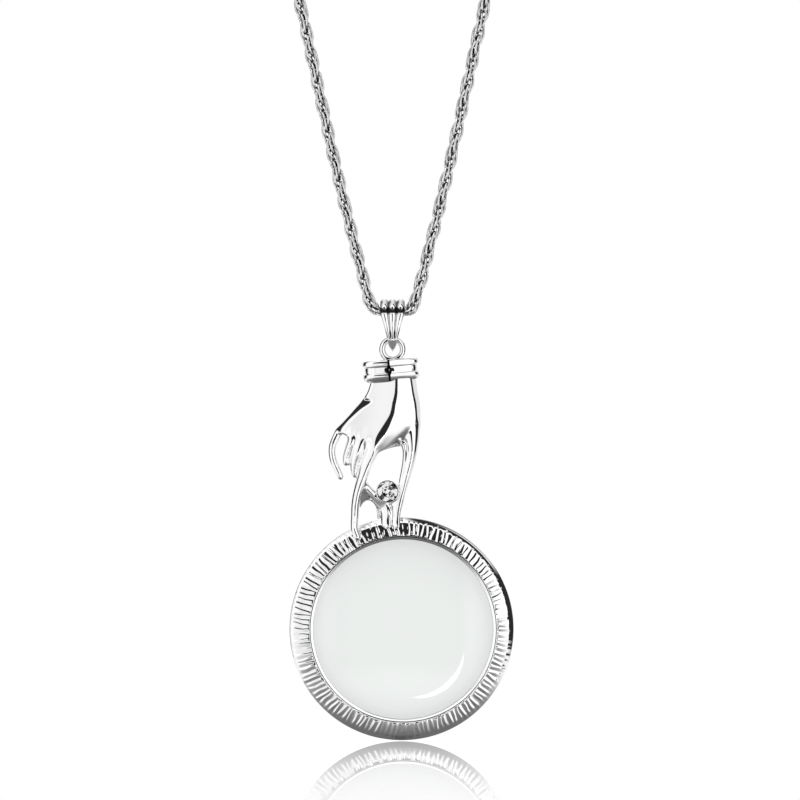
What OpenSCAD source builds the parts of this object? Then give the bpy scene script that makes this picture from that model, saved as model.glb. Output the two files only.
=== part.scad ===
// Magnifier pendant on a long rope chain. A cuffed hand hangs from a ribbed bail,
// and its thumb and finger hold the forked handle of a round magnifying lens.
// Millimetres, +Z up. The pendant faces -Y, and the origin is the side of the
// clasp barrel that rests on the nape of the neck.

/* [Chain] */
// Thickness of the rope chain
chain_d = 2.7; // [2.4:0.1:2.8]
// Thickness of the clasp barrel
clasp_d = 3.6; // [3.2:0.1:4.6]
// Length of the clasp barrel
clasp_len = 10; // [8:0.5:14]

/* [Bail] */
// Width of the ribbed band over the chain
bail_w = 4.8; // [4:0.1:5]
// Thickness of the ribbed band
bail_t = 0.8; // [0.6:0.05:1.1]
// Thickness of the pinched foot that carries the eye
foot_t = 1.5; // [1.1:0.1:1.7]
// Drop from the middle of the chain to the wire of the eye
bail_drop = 5.4; // [5:0.1:9]
// Room between the bail and the chain inside it
chain_room = 0.35; // [0.25:0.05:0.4]
// Room between the bail and the wire of the eye
eye_room = 0.25; // [0.2:0.05:0.3]

/* [Eye and cuff] */
// Outer width of the eye
eye_d = 5.2; // [5:0.1:7]
// Thickness of the eye's wire
eye_wire = 1.2; // [1:0.05:1.25]
// Width of the cuff
cuff_w = 11; // [9:0.1:13]
// Depth of the cuff, front to back
cuff_depth = 6.8; // [5:0.1:9]
// Height of the cuff
cuff_h = 4.4; // [3.5:0.1:6]
// Tilt of the cuff, lower on the left
cuff_tilt = 4.5; // [0:0.5:8]

/* [Hand] */
// Span that the hand's widths are shares of
hand_w = 17.6; // [15:0.1:21]
// Height from the cuff down to the top of the rim
hand_len = 26.7; // [24:0.1:32]
// Thickness that the hand's depths are shares of
hand_t = 6; // [5:0.1:8]

/* [Stone] */
// Width of the round stone
stone_d = 4; // [3:0.1:4.6]
// Wall of the stone's cup
cup_wall = 0.22; // [0.18:0.02:0.4]

/* [Rim] */
// Outer width of the rim
rim_d = 44; // [40:0.5:56]
// Radial width of the rim, from the lens opening out
rim_band = 3.9; // [3.4:0.1:5]
// Thickness of the rim, without its ridges
rim_t = 3.2; // [3:0.1:5]
// Width of the polished lip around the lens
lip_w = 0.6; // [0.4:0.05:1]
// Width of the plain bevel at the outer edge
bevel_w = 0.7; // [0.4:0.05:1]
// Height of the bark ridges
bark_h = 0.35; // [0.2:0.05:0.5]
// Number of bark ridges
bark_count = 108; // [80:1:132]
// How far the rim's middle lies to the right of the bail
rim_shift = 1.8; // [0:0.1:3]

/* [Lens] */
// Radius of both faces of the lens
lens_curve = 120; // [90:1:300]
// Thickness of the lens at its edge
lens_edge = 1.2; // [0.8:0.05:1.4]
// How far the lens reaches into the groove of the rim
lens_seat = 0.4; // [0.25:0.05:0.6]
// Gap between the metal and the lens or the stone
fit = 0.08; // [0.05:0.01:0.12]

/* [Hidden] */

// Middle of the right half of the chain, from the middle of the bail up to the
// neck and round behind it: across, back and up. The left half mirrors it.
chain_route = [
    [0, 0, 0], [2.6, 0, 0.05], [3.8, 0, 0.8], [4.5, 0.1, 2.2], [5.1, 0.4, 4.2], [6.2, 0.9, 8.4],
    [10.8, 3, 27], [18.3, 7, 61], [25, 10.5, 91], [31.6, 14, 121], [38.3, 17.5, 151], [44.9, 21, 181],
    [50, 24.5, 205], [54, 29, 225], [56.5, 35.5, 238], [57.5, 45, 247.5],
    [56, 60, 254.5], [48.5, 75, 258], [35.5, 87.5, 260], [18, 94.5, 260.5]
];
nape_back = 96;
nape_up = 260.5;
chain_sides = 8;

// Origin of the part, seen from the middle of the bail
nape = [0, nape_back - clasp_d/2, nape_up];

// Bail: its inside is two arcs joined by tangents, one round the chain and one
// round the wire of the eye
bail_over = chain_d/2 + chain_room;
bail_under = eye_wire/2 + eye_room;
bail_lean = asin((bail_over - bail_under)/bail_drop);
// Share of the drop, share of the band's width
bail_taper = [[-0.4, 1], [0.05, 1], [0.5, 0.68], [0.95, 0.4], [1.1, 0.21], [1.4, 0.15]];
// Share of the drop, share of the way from the band's thickness to the foot's
bail_swell = [[0.95, 0], [1.1, 0.8], [1.16, 1]];
bail_ribs = 3;
rib_cuts = 4;

// Places down the pendant, seen from the middle of the bail
eye_r = (eye_d - eye_wire)/2;
eye_z = -bail_drop - eye_r;
eye_sink = 0.75;
cuff_top = eye_z - eye_d/2 + eye_sink;
cuff_x = -0.35;
hand_top = cuff_top - cuff_h;
rim_r = rim_d/2;
rim_top = hand_top - hand_len;
rim_z = rim_top - rim_r;

// Rim: heights stand for the front, seen from the rim's middle plane
opening_r = rim_r - rim_band;
half_t = rim_t/2;
groove_h = lens_edge/2 + belly(opening_r + lens_seat) - belly(opening_r) + fit;
band_in = opening_r + lip_w;
band_out = rim_r - bevel_w;
band_mid = (band_in + band_out)/2;
band_crown = 0.25;
corner = 0.2;
rim_sides = 72;

// Cuff: share of half its width, share of its height
cuff_line = [
    [0, 0], [0.85, 0], [0.96, 0.07], [1, 0.19], [0.98, 0.34], [0.91, 0.46], [0.905, 0.57],
    [0.97, 0.69], [1, 0.82], [0.97, 0.95], [0.86, 1], [0, 1]
];
gather_share = -0.1;
gather_w = 0.5;

// Columns of the limbs' tables. ACROSS and HALF are shares of hand_w, DOWN of
// hand_len, and DEEP, FRONT and BACK of hand_t. RIDGE is where the front is
// highest, from -1 at the left edge to 1 at the right, and CROWN is how round it is.
ACROSS = 0;
DOWN = 1;
DEEP = 2;
HALF = 3;
FRONT = 4;
BACK = 5;
RIDGE = 6;
CROWN = 7;

palm_rows = [
    [0.015, -0.04, 0, 0.25, 0.43, 0.38, 0.1, 1.9],
    [0.01, 0.035, 0, 0.265, 0.45, 0.37, 0.15, 1.8],
    [0, 0.085, 0, 0.28, 0.46, 0.35, 0.15, 1.7],
    [-0.025, 0.145, 0, 0.32, 0.475, 0.335, 0.15, 1.65],
    [-0.06, 0.21, -0.015, 0.365, 0.485, 0.315, 0.13, 1.7],
    [-0.09, 0.275, -0.035, 0.405, 0.465, 0.3, 0.1, 1.8],
    [-0.11, 0.335, -0.05, 0.42, 0.435, 0.285, 0.05, 1.9],
    [-0.1, 0.385, -0.065, 0.395, 0.365, 0.25, -0.1, 2],
    [-0.09, 0.43, -0.065, 0.35, 0.265, 0.185, -0.15, 2],
    [-0.035, 0.458, -0.065, 0.235, 0.15, 0.1, -0.1, 2],
    [0.005, 0.48, -0.065, 0.08, 0.05, 0.04, 0, 2]
];
index_rows = [
    [-0.15, 0.345, -0.1, 0.09, 0.365, 0.265, 0.1, 1.9],
    [-0.2, 0.43, -0.135, 0.092, 0.335, 0.25, 0.2, 1.8],
    [-0.245, 0.525, -0.165, 0.078, 0.275, 0.215, 0.45, 1.7],
    [-0.295, 0.605, -0.2, 0.069, 0.235, 0.185, 0.5, 1.7],
    [-0.325, 0.68, -0.235, 0.061, 0.21, 0.165, 0.25, 1.7],
    [-0.36, 0.755, -0.265, 0.055, 0.185, 0.16, 0.05, 1.8],
    [-0.392, 0.825, -0.3, 0.049, 0.165, 0.15, 0.1, 1.8],
    [-0.412, 0.9, -0.335, 0.047, 0.16, 0.14, 0.1, 1.8],
    [-0.418, 0.975, -0.375, 0.045, 0.15, 0.135, 0, 1.9]
];
middle_rows = [
    [-0.315, 0.37, -0.1, 0.09, 0.315, 0.235, 0, 2],
    [-0.35, 0.445, -0.135, 0.077, 0.285, 0.215, 0, 2],
    [-0.385, 0.52, -0.15, 0.069, 0.24, 0.185, 0, 2],
    [-0.415, 0.585, -0.15, 0.056, 0.2, 0.165, 0, 2],
    [-0.427, 0.645, -0.135, 0.042, 0.165, 0.15, 0, 2],
    [-0.42, 0.69, -0.115, 0.032, 0.135, 0.115, 0, 2]
];
ring_rows = [
    [-0.425, 0.355, -0.085, 0.078, 0.285, 0.215, 0, 2],
    [-0.45, 0.43, -0.1, 0.056, 0.25, 0.185, 0, 2],
    [-0.485, 0.495, -0.115, 0.047, 0.2, 0.16, 0, 2],
    [-0.515, 0.555, -0.115, 0.04, 0.165, 0.14, 0, 2],
    [-0.518, 0.6, -0.1, 0.037, 0.15, 0.135, 0, 2]
];
little_rows = [
    [-0.425, 0.28, -0.015, 0.078, 0.3, 0.235, 0, 2],
    [-0.55, 0.355, 0, 0.055, 0.215, 0.185, 0, 2],
    [-0.635, 0.425, 0.015, 0.045, 0.165, 0.15, 0, 2],
    [-0.67, 0.48, 0.035, 0.041, 0.14, 0.135, 0, 2],
    [-0.672, 0.54, 0.035, 0.04, 0.135, 0.125, 0, 2],
    [-0.65, 0.6, 0.015, 0.04, 0.135, 0.125, 0, 2],
    [-0.605, 0.665, 0, 0.039, 0.125, 0.115, 0, 2],
    [-0.578, 0.705, 0, 0.036, 0.115, 0.11, 0, 2]
];
thumb_rows = [
    [0.195, 0.32, 0, 0.11, 0.365, 0.25, 0, 2],
    [0.212, 0.41, -0.015, 0.089, 0.315, 0.235, 0, 2],
    [0.219, 0.495, -0.05, 0.062, 0.25, 0.2, 0, 2],
    [0.202, 0.58, -0.065, 0.051, 0.21, 0.175, 0, 2],
    [0.173, 0.66, -0.075, 0.046, 0.185, 0.165, 0, 2],
    [0.146, 0.73, -0.085, 0.041, 0.165, 0.15, 0, 2],
    [0.112, 0.805, -0.085, 0.04, 0.165, 0.15, 0, 2],
    [0.062, 0.88, -0.085, 0.064, 0.175, 0.16, 0, 2],
    [0.037, 0.945, -0.09, 0.062, 0.185, 0.165, 0, 2],
    [0.035, 1.01, -0.115, 0.052, 0.2, 0.185, 0, 2],
    [0.033, 1.05, -0.15, 0.055, 0.2, 0.185, 0, 2]
];
thumb_side_rows = [
    [0.126, 0.465, -0.035, 0.032, 0.21, 0.15, 0, 2],
    [0.141, 0.52, -0.04, 0.03, 0.185, 0.14, 0, 2],
    [0.137, 0.585, -0.05, 0.029, 0.165, 0.135, 0, 2],
    [0.119, 0.66, -0.05, 0.028, 0.16, 0.135, 0, 2],
    [0.098, 0.73, -0.05, 0.027, 0.15, 0.135, 0, 2],
    [0.08, 0.8, -0.05, 0.026, 0.15, 0.135, 0, 2]
];
arm_rows = [
    [-0.312, 0.765, -0.115, 0.047, 0.15, 0.15, 0, 2],
    [-0.247, 0.815, -0.1, 0.05, 0.16, 0.15, 0, 2],
    [-0.18, 0.865, -0.085, 0.052, 0.165, 0.16, 0, 2],
    [-0.1, 0.92, -0.085, 0.079, 0.175, 0.165, 0, 2],
    [-0.075, 0.965, -0.09, 0.072, 0.185, 0.165, 0, 2],
    [-0.075, 1.02, -0.115, 0.059, 0.2, 0.185, 0, 2],
    [-0.072, 1.05, -0.15, 0.059, 0.2, 0.185, 0, 2]
];
web_rows = [
    [-0.345, 0.77, -0.16, 0.035, 0.1, 0.1, 0, 2],
    [-0.31, 0.82, -0.16, 0.075, 0.1, 0.1, 0, 2],
    [-0.285, 0.865, -0.16, 0.095, 0.08, 0.08, 0, 2]
];
limb_sides = 12;
limb_steps = 2;

// Fingertip on the face of the rim: its angle left of the top, and how far out
tip_angle = 25.5;
tip_r = band_mid + 0.5;
tip_half = 0.75;

// Stone and cup: shares of hand_w and hand_len
cup_across = -0.055;
cup_down = 0.81;
cup_r = stone_d/2 + fit + cup_wall;
cup_x = cup_across*hand_w;
cup_z = hand_top - cup_down*hand_len;
cup_front = 0.25*hand_t;
cup_back = 0.2*hand_t;
stone_girdle = 0.08*stone_d;
stone_crown = 0.16*stone_d;
stone_depth = 0.4*stone_d;
girdle_at = cup_front - stone_crown - stone_girdle;

// Depth of a lens face's hollow at a radius
function belly(r) = lens_curve - sqrt(lens_curve*lens_curve - r*r);

// Rows of a table with some more between them, on a smooth curve
function between(a, b, c, d, t) =
    0.5*(2*b + (c - a)*t + (2*a - 5*b + 4*c - d)*t*t + (3*b - a - 3*c + d)*t*t*t);
function smooth(rows, steps) = let (last = len(rows) - 1) [
    for (i = [0 : last - 1], k = [0 : steps - 1])
        between(rows[max(i - 1, 0)], rows[i], rows[i + 1], rows[min(i + 2, last)], k/steps),
    rows[last]
];

// Faces of a skin over rings of points, with flat ends or closed on itself
function skin(rings, sides, closed = false) = let (count = closed ? rings : rings - 1) concat(
    [for (i = [0 : count - 1], j = [0 : sides - 1])
        let (k = (j + 1)%sides, n = (i + 1)%rings)
        [i*sides + j, i*sides + k, n*sides + k, n*sides + j]],
    closed ? [] : [
        [for (j = [sides - 1 : -1 : 0]) j],
        [for (j = [0 : sides - 1]) (rings - 1)*sides + j]
    ]
);
module loft(rings, closed = false) {
    points = [for (ring = rings, point = ring) point];
    polyhedron(points, skin(len(rings), len(rings[0]), closed), convexity = 6);
}

// A limb's row in millimetres, as place, half width and depths
function real(row) = [
    row[ACROSS]*hand_w, hand_top - row[DOWN]*hand_len, row[DEEP]*hand_t, row[HALF]*hand_w,
    row[FRONT]*hand_t, row[BACK]*hand_t, row[RIDGE], row[CROWN]
];
// Direction of a limb at one row, in the plane of the hand
function heading(rows, i) =
    let (a = rows[max(i - 1, 0)], b = rows[min(i + 1, len(rows) - 1)],
        run = [b[ACROSS] - a[ACROSS], b[DOWN] - a[DOWN]])
    run/norm(run);
// Two smaller rows that round off the end of a limb
function tip(row, way) = [
    for (a = [38, 72])
        [row[ACROSS] + way[0]*row[HALF]*sin(a), row[DOWN] + way[1]*row[HALF]*sin(a), row[DEEP],
            row[HALF]*cos(a), row[FRONT]*cos(a), row[BACK]*cos(a), row[RIDGE], row[CROWN]]
];
// Oval across a limb, with the crown of its front at the row's ridge
function oval(row, way) = [
    for (j = [0 : limb_sides - 1])
        let (c = cos(360*j/limb_sides), s = sin(360*j/limb_sides), front = s < 0,
            side = sign(c)*pow(abs(c), front ? 2/row[CROWN] : 1),
            out = row[HALF]*(side + (front ? row[RIDGE]*(1 - abs(side)) : 0)),
            deep = s*(front ? row[FRONT] : row[BACK]))
        [row[ACROSS] - out*way[1], row[DEEP] + deep, row[DOWN] + out*way[0]]
];
module limb(rows) {
    path = smooth(rows, limb_steps);
    last = len(path) - 1;
    way = heading(path, last);
    loft(concat(
        [for (i = [0 : last]) oval(path[i], heading(path, i))],
        [for (row = tip(path[last], way)) oval(row, way)]
    ));
}
// A body whose ovals all lie level, with flat ends
module level_body(rows) {
    loft([for (row = smooth(rows, limb_steps)) oval(row, [0, -1])]);
}
function all_real(rows) = [for (row = rows) real(row)];
// Last rows of the index finger, which lie on the face of the rim
index_end = let (deep = -(half_t + band_crown + tip_half - 0.25)) [
    for (out = [0.9, 0])
        [rim_shift - (tip_r + out)*sin(tip_angle) - 0.2*out, rim_z + (tip_r + out)*cos(tip_angle) + out,
            deep, tip_half, tip_half, tip_half, 0, 2]
];

// Direction of travel along a route of points in space
function course(route, i) =
    let (run = route[min(i + 1, len(route) - 1)] - route[max(i - 1, 0)]) run/norm(run);
// A direction square to the course, turned no more than the course turns
function carried(side, way) = let (flat = side - (side*way)*way) flat/norm(flat);
function sides_along(route) = [
    for (i = 0, side = [0, 1, 0]; i < len(route); i = i + 1,
        side = i < len(route) ? carried(side, course(route, i)) : side) side
];
module strand(mirrored) {
    end = [clasp_len/2 + fit, nape_back, nape_up];
    start = mirrored ? [[-chain_route[1][0], 0, 0]] : [];
    path = smooth(concat(chain_route, [end]), 2);
    turns = sides_along(path);
    last = len(path) - 1;
    loft([
        for (i = [0 : last])
            let (way = i == 0 || i == last ? [i == 0 ? 1 : -1, 0, 0] : course(path, i),
                a = carried(turns[i], way), b = cross(way, a))
            [for (j = [0 : chain_sides - 1])
                let (t = -360*(j + 0.5)/chain_sides) path[i] + chain_d/2*(cos(t)*a + sin(t)*b)]
    ]);
}

// One station of the bail: its place on the inside, the way out, and its section
function bail_section(inside, out) =
    let (share = -inside[1]/bail_drop,
        half = bail_w/2*lookup(share, bail_taper),
        swell = lookup(share, bail_swell),
        thick = bail_t + (foot_t - bail_t)*swell,
        cuts = bail_ribs*rib_cuts,
        offsets = [for (k = [0 : cuts])
            let (across = 2*k/cuts - 1,
                rib = 0.62 + 0.38*sin(180*(k%rib_cuts)/rib_cuts),
                ridge = 0.4 + 0.6*cos(90*across))
            [across, thick*(rib*(1 - swell) + ridge*swell)]],
        line = concat([[-1, 0]], offsets, [[1, 0]]))
    [for (p = line) [half*p[0], inside[0] + out[0]*p[1], inside[1] + out[1]*p[1]]];
function bail_arc(centre, r, from, to, steps) = [
    for (k = [0 : steps])
        let (a = from + (to - from)*k/steps, out = [cos(a), sin(a)])
        bail_section([r*out[0], centre + r*out[1]], out)
];
// Station part of the way down one leg, from the arc over the chain to the foot
function bail_leg(a, share) =
    let (out = [cos(a), sin(a)], r = bail_over + (bail_under - bail_over)*share)
    bail_section([r*out[0], -bail_drop*share + r*out[1]], out);

module at_neck() translate(-nape) children();

module rope_chain_left() {
    color("silver") at_neck() mirror([1, 0, 0]) strand(true);
}

module rope_chain_right() {
    color("silver") at_neck() strand(false);
}

// Plain barrel that closes the chain behind the neck
module clasp() {
    color("silver") at_neck() translate([0, nape_back, nape_up]) rotate([0, 90, 0])
        rotate_extrude($fn = 48) polygon([
            [0, -clasp_len/2], [clasp_d*0.35, -clasp_len/2], [clasp_d/2, -clasp_len/2 + clasp_d*0.15],
            [clasp_d/2, clasp_len/2 - clasp_d*0.15], [clasp_d*0.35, clasp_len/2], [0, clasp_len/2]
        ]);
}

module bail() {
    over = bail_arc(0, bail_over, -bail_lean, 180 + bail_lean, 12);
    under = bail_arc(-bail_drop, bail_under, 180 + bail_lean, 360 - bail_lean, 10);
    legs = [0.2, 0.4, 0.6, 0.8];
    back_leg = [for (share = legs) bail_leg(180 + bail_lean, share)];
    front_leg = [for (share = legs) bail_leg(-bail_lean, 1 - share)];
    color("silver") at_neck() loft(concat(over, back_leg, under, front_leg), closed = true);
}

module eye() {
    translate([0, 0, eye_z]) rotate([90, 0, 0])
        rotate_extrude($fn = 32) translate([eye_r, 0]) circle(d = eye_wire, $fn = 12);
}

// Two rolled edges with a hollow between them, gathered in front by a pleat
module cuff() {
    translate([cuff_x, 0, cuff_top - cuff_h]) translate([0, 0, cuff_h/2]) rotate([0, -cuff_tilt, 0])
        translate([0, 0, -cuff_h/2]) difference() {
            scale([1, cuff_depth/cuff_w, 1]) rotate_extrude($fn = 36)
                polygon([for (p = cuff_line) [p[0]*cuff_w/2, p[1]*cuff_h]]);
            translate([gather_share*cuff_w/2, -cuff_depth/2, cuff_h/2]) rotate([0, 0, 45])
                cube([gather_w, gather_w, 2*cuff_h], center = true);
        }
}

module hand() {
    level_body(all_real(palm_rows));
    limb(concat(all_real(index_rows), index_end));
    limb(all_real(middle_rows));
    limb(all_real(ring_rows));
    limb(all_real(little_rows));
}

// Forked handle with the thumb that lies along it
module handle() {
    limb(all_real(thumb_rows));
    limb(all_real(thumb_side_rows));
    limb(all_real(arm_rows));
    level_body(all_real(web_rows));
}

module cup() {
    translate([cup_x, 0, cup_z]) rotate([90, 0, 0]) translate([0, 0, -cup_back]) {
        cylinder(r = cup_r, h = cup_back + cup_front, $fn = 36);
        translate([0, 0, -cup_back/2]) cylinder(r1 = cup_r/2, r2 = cup_r, h = cup_back/2, $fn = 36);
    }
}

// Seat of the stone: a cone for its point under a straight wall for its girdle
module cup_hole() {
    wall_r = stone_d/2 + fit;
    translate([cup_x, -girdle_at, cup_z]) rotate([90, 0, 0]) rotate_extrude($fn = 36)
        polygon([[0, -stone_depth - fit], [fit, -stone_depth - fit], [wall_r, -fit],
            [wall_r, 2*hand_t], [0, 2*hand_t]]);
}

// Height of the rim's front at a radius of its textured band
function band_height(r) = half_t - 0.1 + band_crown*(1 - pow((r - band_mid)/(band_out - band_mid), 2));

module rim() {
    rotate_extrude($fn = rim_sides) polygon(concat(
        [[opening_r, groove_h], [opening_r, half_t - corner], [opening_r + corner, half_t]],
        [for (k = [0 : 2]) let (r = band_in + (band_out - band_in)*k/2) [r, band_height(r)]],
        [[rim_r, half_t/2], [rim_r, -half_t/2], [rim_r - half_t/2, -half_t],
            [opening_r + corner, -half_t], [opening_r, -half_t + corner], [opening_r, -groove_h],
            [opening_r + lens_seat + fit, -groove_h], [opening_r + lens_seat + fit, groove_h]]
    ));
}

// One upright slice of a ridge, from under the band's face up to its edge
function ridge_slice(r, half, high) =
    let (base = band_height(min(r, band_out)) - bark_h)
    [[r, -half, base], [r, half, base], [r, 0, base + bark_h + high]];

// Bark: rays of uneven width, height and length around the rim
module bark() {
    step = 360/bark_count;
    chance = rands(0, 1, 5*bark_count, 7);
    for (i = [0 : bark_count - 1]) {
        dice = [for (k = [0 : 4]) chance[5*i + k]];
        half = band_mid*step*PI/180*(0.42 + 0.22*dice[0]);
        high = bark_h*(0.45 + 0.55*dice[1]);
        inner = band_in + 0.35*dice[2];
        outer = band_out - 0.1 + 0.4*dice[3];
        rotate([0, 0, step*(i + 0.5*dice[4])]) hull() loft([
            ridge_slice(inner, half*0.8, high*0.7),
            ridge_slice(band_mid, half, high),
            ridge_slice(outer, half*0.9, high*0.6)
        ]);
    }
}

// Eye, cuff, hand, handle, cup and rim are one casting
module hand_frame() {
    color("gainsboro") at_neck() difference() {
        union() {
            eye();
            cuff();
            hand();
            handle();
            cup();
            translate([rim_shift, 0, rim_z]) rotate([90, 0, 0]) {
                rim();
                bark();
            }
        }
        cup_hole();
    }
}

// Round stone with a table, eight kites, sixteen girdle corners and a point
module stone() {
    r = stone_d/2;
    color("aliceblue") at_neck() translate([cup_x, -girdle_at, cup_z])
        rotate([90, 0, 0]) hull() {
            translate([0, 0, stone_girdle]) {
                translate([0, 0, stone_crown - 0.01]) cylinder(r = 0.56*r, h = 0.01, $fn = 8);
                rotate([0, 0, 22.5]) translate([0, 0, 0.6*stone_crown]) cylinder(r = 0.79*r, h = 0.01, $fn = 8);
            }
            cylinder(r = r, h = stone_girdle, $fn = 16);
            translate([0, 0, -stone_depth + 2*fit]) cylinder(r = 0.05, h = 0.01, $fn = 8);
        }
}

module lens() {
    r = opening_r + lens_seat;
    off = lens_curve - belly(r) - lens_edge/2;
    color("honeydew", 0.6) at_neck() translate([rim_shift, 0, rim_z]) rotate([90, 0, 0])
        rotate_extrude($fn = 128) intersection() {
            translate([0, -off]) circle(r = lens_curve, $fn = 256);
            translate([0, off]) circle(r = lens_curve, $fn = 256);
            translate([0, -belly(r) - lens_edge]) square([r, 2*(belly(r) + lens_edge)]);
        }
}

rope_chain_left();
rope_chain_right();
clasp();
bail();
hand_frame();
stone();
lens();
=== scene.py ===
"""Looks of a magnifier pendant on a long rope chain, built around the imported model.

Lengths are in millimetres, seen from the middle of the bail, and go into the model's
frame in metres when a mesh is made. The pendant faces -Y and +Z is up.
"""

import logging
import math
from dataclasses import dataclass, field
from enum import Enum

import bmesh
import bpy
import numpy as np
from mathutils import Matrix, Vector

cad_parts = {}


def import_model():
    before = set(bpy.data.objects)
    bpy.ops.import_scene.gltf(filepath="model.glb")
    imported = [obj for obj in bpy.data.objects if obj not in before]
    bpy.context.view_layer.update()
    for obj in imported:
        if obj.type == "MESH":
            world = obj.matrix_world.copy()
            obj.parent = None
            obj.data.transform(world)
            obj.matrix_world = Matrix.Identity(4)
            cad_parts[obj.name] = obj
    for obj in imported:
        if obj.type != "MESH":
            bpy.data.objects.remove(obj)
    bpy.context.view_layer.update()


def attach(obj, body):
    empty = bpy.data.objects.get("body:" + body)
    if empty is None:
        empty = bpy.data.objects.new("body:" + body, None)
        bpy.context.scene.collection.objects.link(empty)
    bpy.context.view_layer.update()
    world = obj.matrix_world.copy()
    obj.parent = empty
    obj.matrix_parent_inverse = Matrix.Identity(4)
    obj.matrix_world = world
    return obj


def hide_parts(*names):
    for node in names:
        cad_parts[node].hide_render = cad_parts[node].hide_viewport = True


LOG = logging.getLogger("magnifier_pendant")
MM = 0.001
NAPE = np.array([0.0, 94.2, 260.5])
OPENNESS = "openness"
WHITE = (1.0, 1.0, 1.0, 1.0)
DEGREES = 180.0 / math.pi
TAU = 2.0 * math.pi
Table = tuple[tuple[float, ...], ...]


class Body(Enum):
    """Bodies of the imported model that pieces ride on."""

    CHAIN = "chain"
    BAIL = "bail"
    PENDANT = "pendant"


class Shading(Enum):
    """How a mesh's faces are shaded."""

    SMOOTH = True
    FLAT = False


# ---------------------------------------------------------------- curves and meshes


def smooth_rows(rows: np.ndarray, steps: int) -> np.ndarray:
    """Rows of a table with more rows between them, on a smooth curve.

    Args:
        rows: Table, a row for each section.
        steps: New rows for each stretch of the table.

    Returns:
        The longer table.
    """
    stretch, last = np.arange(len(rows) - 1), len(rows) - 1
    a, b, c, d = (rows[np.clip(stretch + k, 0, last)][:, None] for k in (-1, 0, 1, 2))
    t = (np.arange(steps) / steps)[None, :, None]
    curve = 0.5 * (2 * b + (c - a) * t + (2 * a - 5 * b + 4 * c - d) * t**2 + (3 * b - a - 3 * c + d) * t**3)
    return np.concatenate([curve.reshape(-1, rows.shape[1]), rows[-1:]])


def rounded(value: np.ndarray, reach: float | np.ndarray) -> np.ndarray:
    """Value as a length that begins with a soft bend, as wide as reach."""
    return np.where(value < reach, value**2 / (2 * reach), value - reach / 2)


def at_table(place: float | np.ndarray, table: Table) -> np.ndarray:
    """Second numbers of a table, read at a place among its first ones."""
    return np.interp(place, *zip(*table))


def smooth_step(low: float, high: float, value: np.ndarray) -> np.ndarray:
    """Share from 0 at low to 1 at high, with a soft start and end.

    Args:
        low: Value where the share is 0.
        high: Value where the share is 1.
        value: Values to place.

    Returns:
        Shares from 0 to 1.
    """
    t = np.clip((value - low) / (high - low), 0, 1)
    return t * t * (3 - 2 * t)


def circle(sides: int) -> np.ndarray:
    """Evenly spaced angles of a full turn."""
    return TAU * np.arange(sides) / sides


@dataclass
class Skin:
    """Points and faces of a surface, in millimetres from the middle of the bail."""

    points: np.ndarray
    faces: list[np.ndarray]

    @staticmethod
    def over_rings(rings: np.ndarray, closed: bool = False, capped: bool = True) -> "Skin":
        """Surface over rings of equally many points.

        Args:
            rings: Array of rings, points and coordinates.
            closed: True if the last ring joins the first.
            capped: True if the two end rings get flat faces.

        Returns:
            The surface.
        """
        count, sides = rings.shape[:2]
        i = np.arange(count if closed else count - 1)[:, None]
        j = np.arange(sides)[None, :]
        k, n = (j + 1) % sides, (i + 1) % count
        quads = np.stack([i * sides + j, i * sides + k, n * sides + k, n * sides + j], axis=-1).reshape(-1, 4)
        faces = [quads]
        if capped and not closed:
            faces.append(np.arange(sides)[::-1][None, :])
            faces.append(((count - 1) * sides + np.arange(sides))[None, :])
        return Skin(rings.reshape(-1, 3), faces)

    @staticmethod
    def joined(skins: list["Skin"]) -> "Skin":
        """Several surfaces as one.

        Args:
            skins: Surfaces to put together.

        Returns:
            One surface with all their points and faces.
        """
        points, faces, start = [], [], 0
        for skin in skins:
            points.append(skin.points)
            faces += [f + start for f in skin.faces]
            start += len(skin.points)
        return Skin(np.concatenate(points), faces)

    def mesh(self, name: str, shading: Shading = Shading.SMOOTH) -> bpy.types.Object:
        """Blender object of this surface, in metres in the model's frame.

        Args:
            name: Name of the object and its mesh.
            shading: Smooth or flat faces.

        Returns:
            The new object.
        """
        data = bpy.data.meshes.new(name)
        corners = np.concatenate([f.reshape(-1) for f in self.faces])
        sizes = np.concatenate([np.full(len(f), f.shape[1]) for f in self.faces])
        starts = np.concatenate([[0], np.cumsum(sizes)[:-1]])
        data.vertices.add(len(self.points))
        data.loops.add(len(corners))
        data.polygons.add(len(sizes))
        data.vertices.foreach_set("co", ((self.points - NAPE) * MM).astype(np.float32).reshape(-1))
        data.loops.foreach_set("vertex_index", corners.astype(np.int32))
        data.polygons.foreach_set("loop_start", starts.astype(np.int32))
        data.polygons.foreach_set("use_smooth", np.full(len(sizes), shading.value))
        data.update(calc_edges=True)
        data.validate()
        made = bpy.data.objects.new(name, data)
        bpy.context.scene.collection.objects.link(made)
        return made


def baked(obj: bpy.types.Object) -> bpy.types.Object:
    """The object with its modifiers worked into its mesh.

    Args:
        obj: Object with modifiers.

    Returns:
        The same object, with a new mesh and no modifiers.
    """
    depsgraph = bpy.context.evaluated_depsgraph_get()
    data = bpy.data.meshes.new_from_object(obj.evaluated_get(depsgraph))
    obj.modifiers.clear()
    obj.data = data
    return obj


def openness(obj: bpy.types.Object, value: np.ndarray) -> None:
    """Stores how open each point lies, for the painted shade in its recesses.

    Args:
        obj: Piece with a mesh of its own.
        value: Openness of its points, about 1 where nothing is darkened.
    """
    made = obj.data.attributes.new(OPENNESS, "FLOAT", "POINT")
    made.data.foreach_set("value", value.astype(np.float32))


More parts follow.
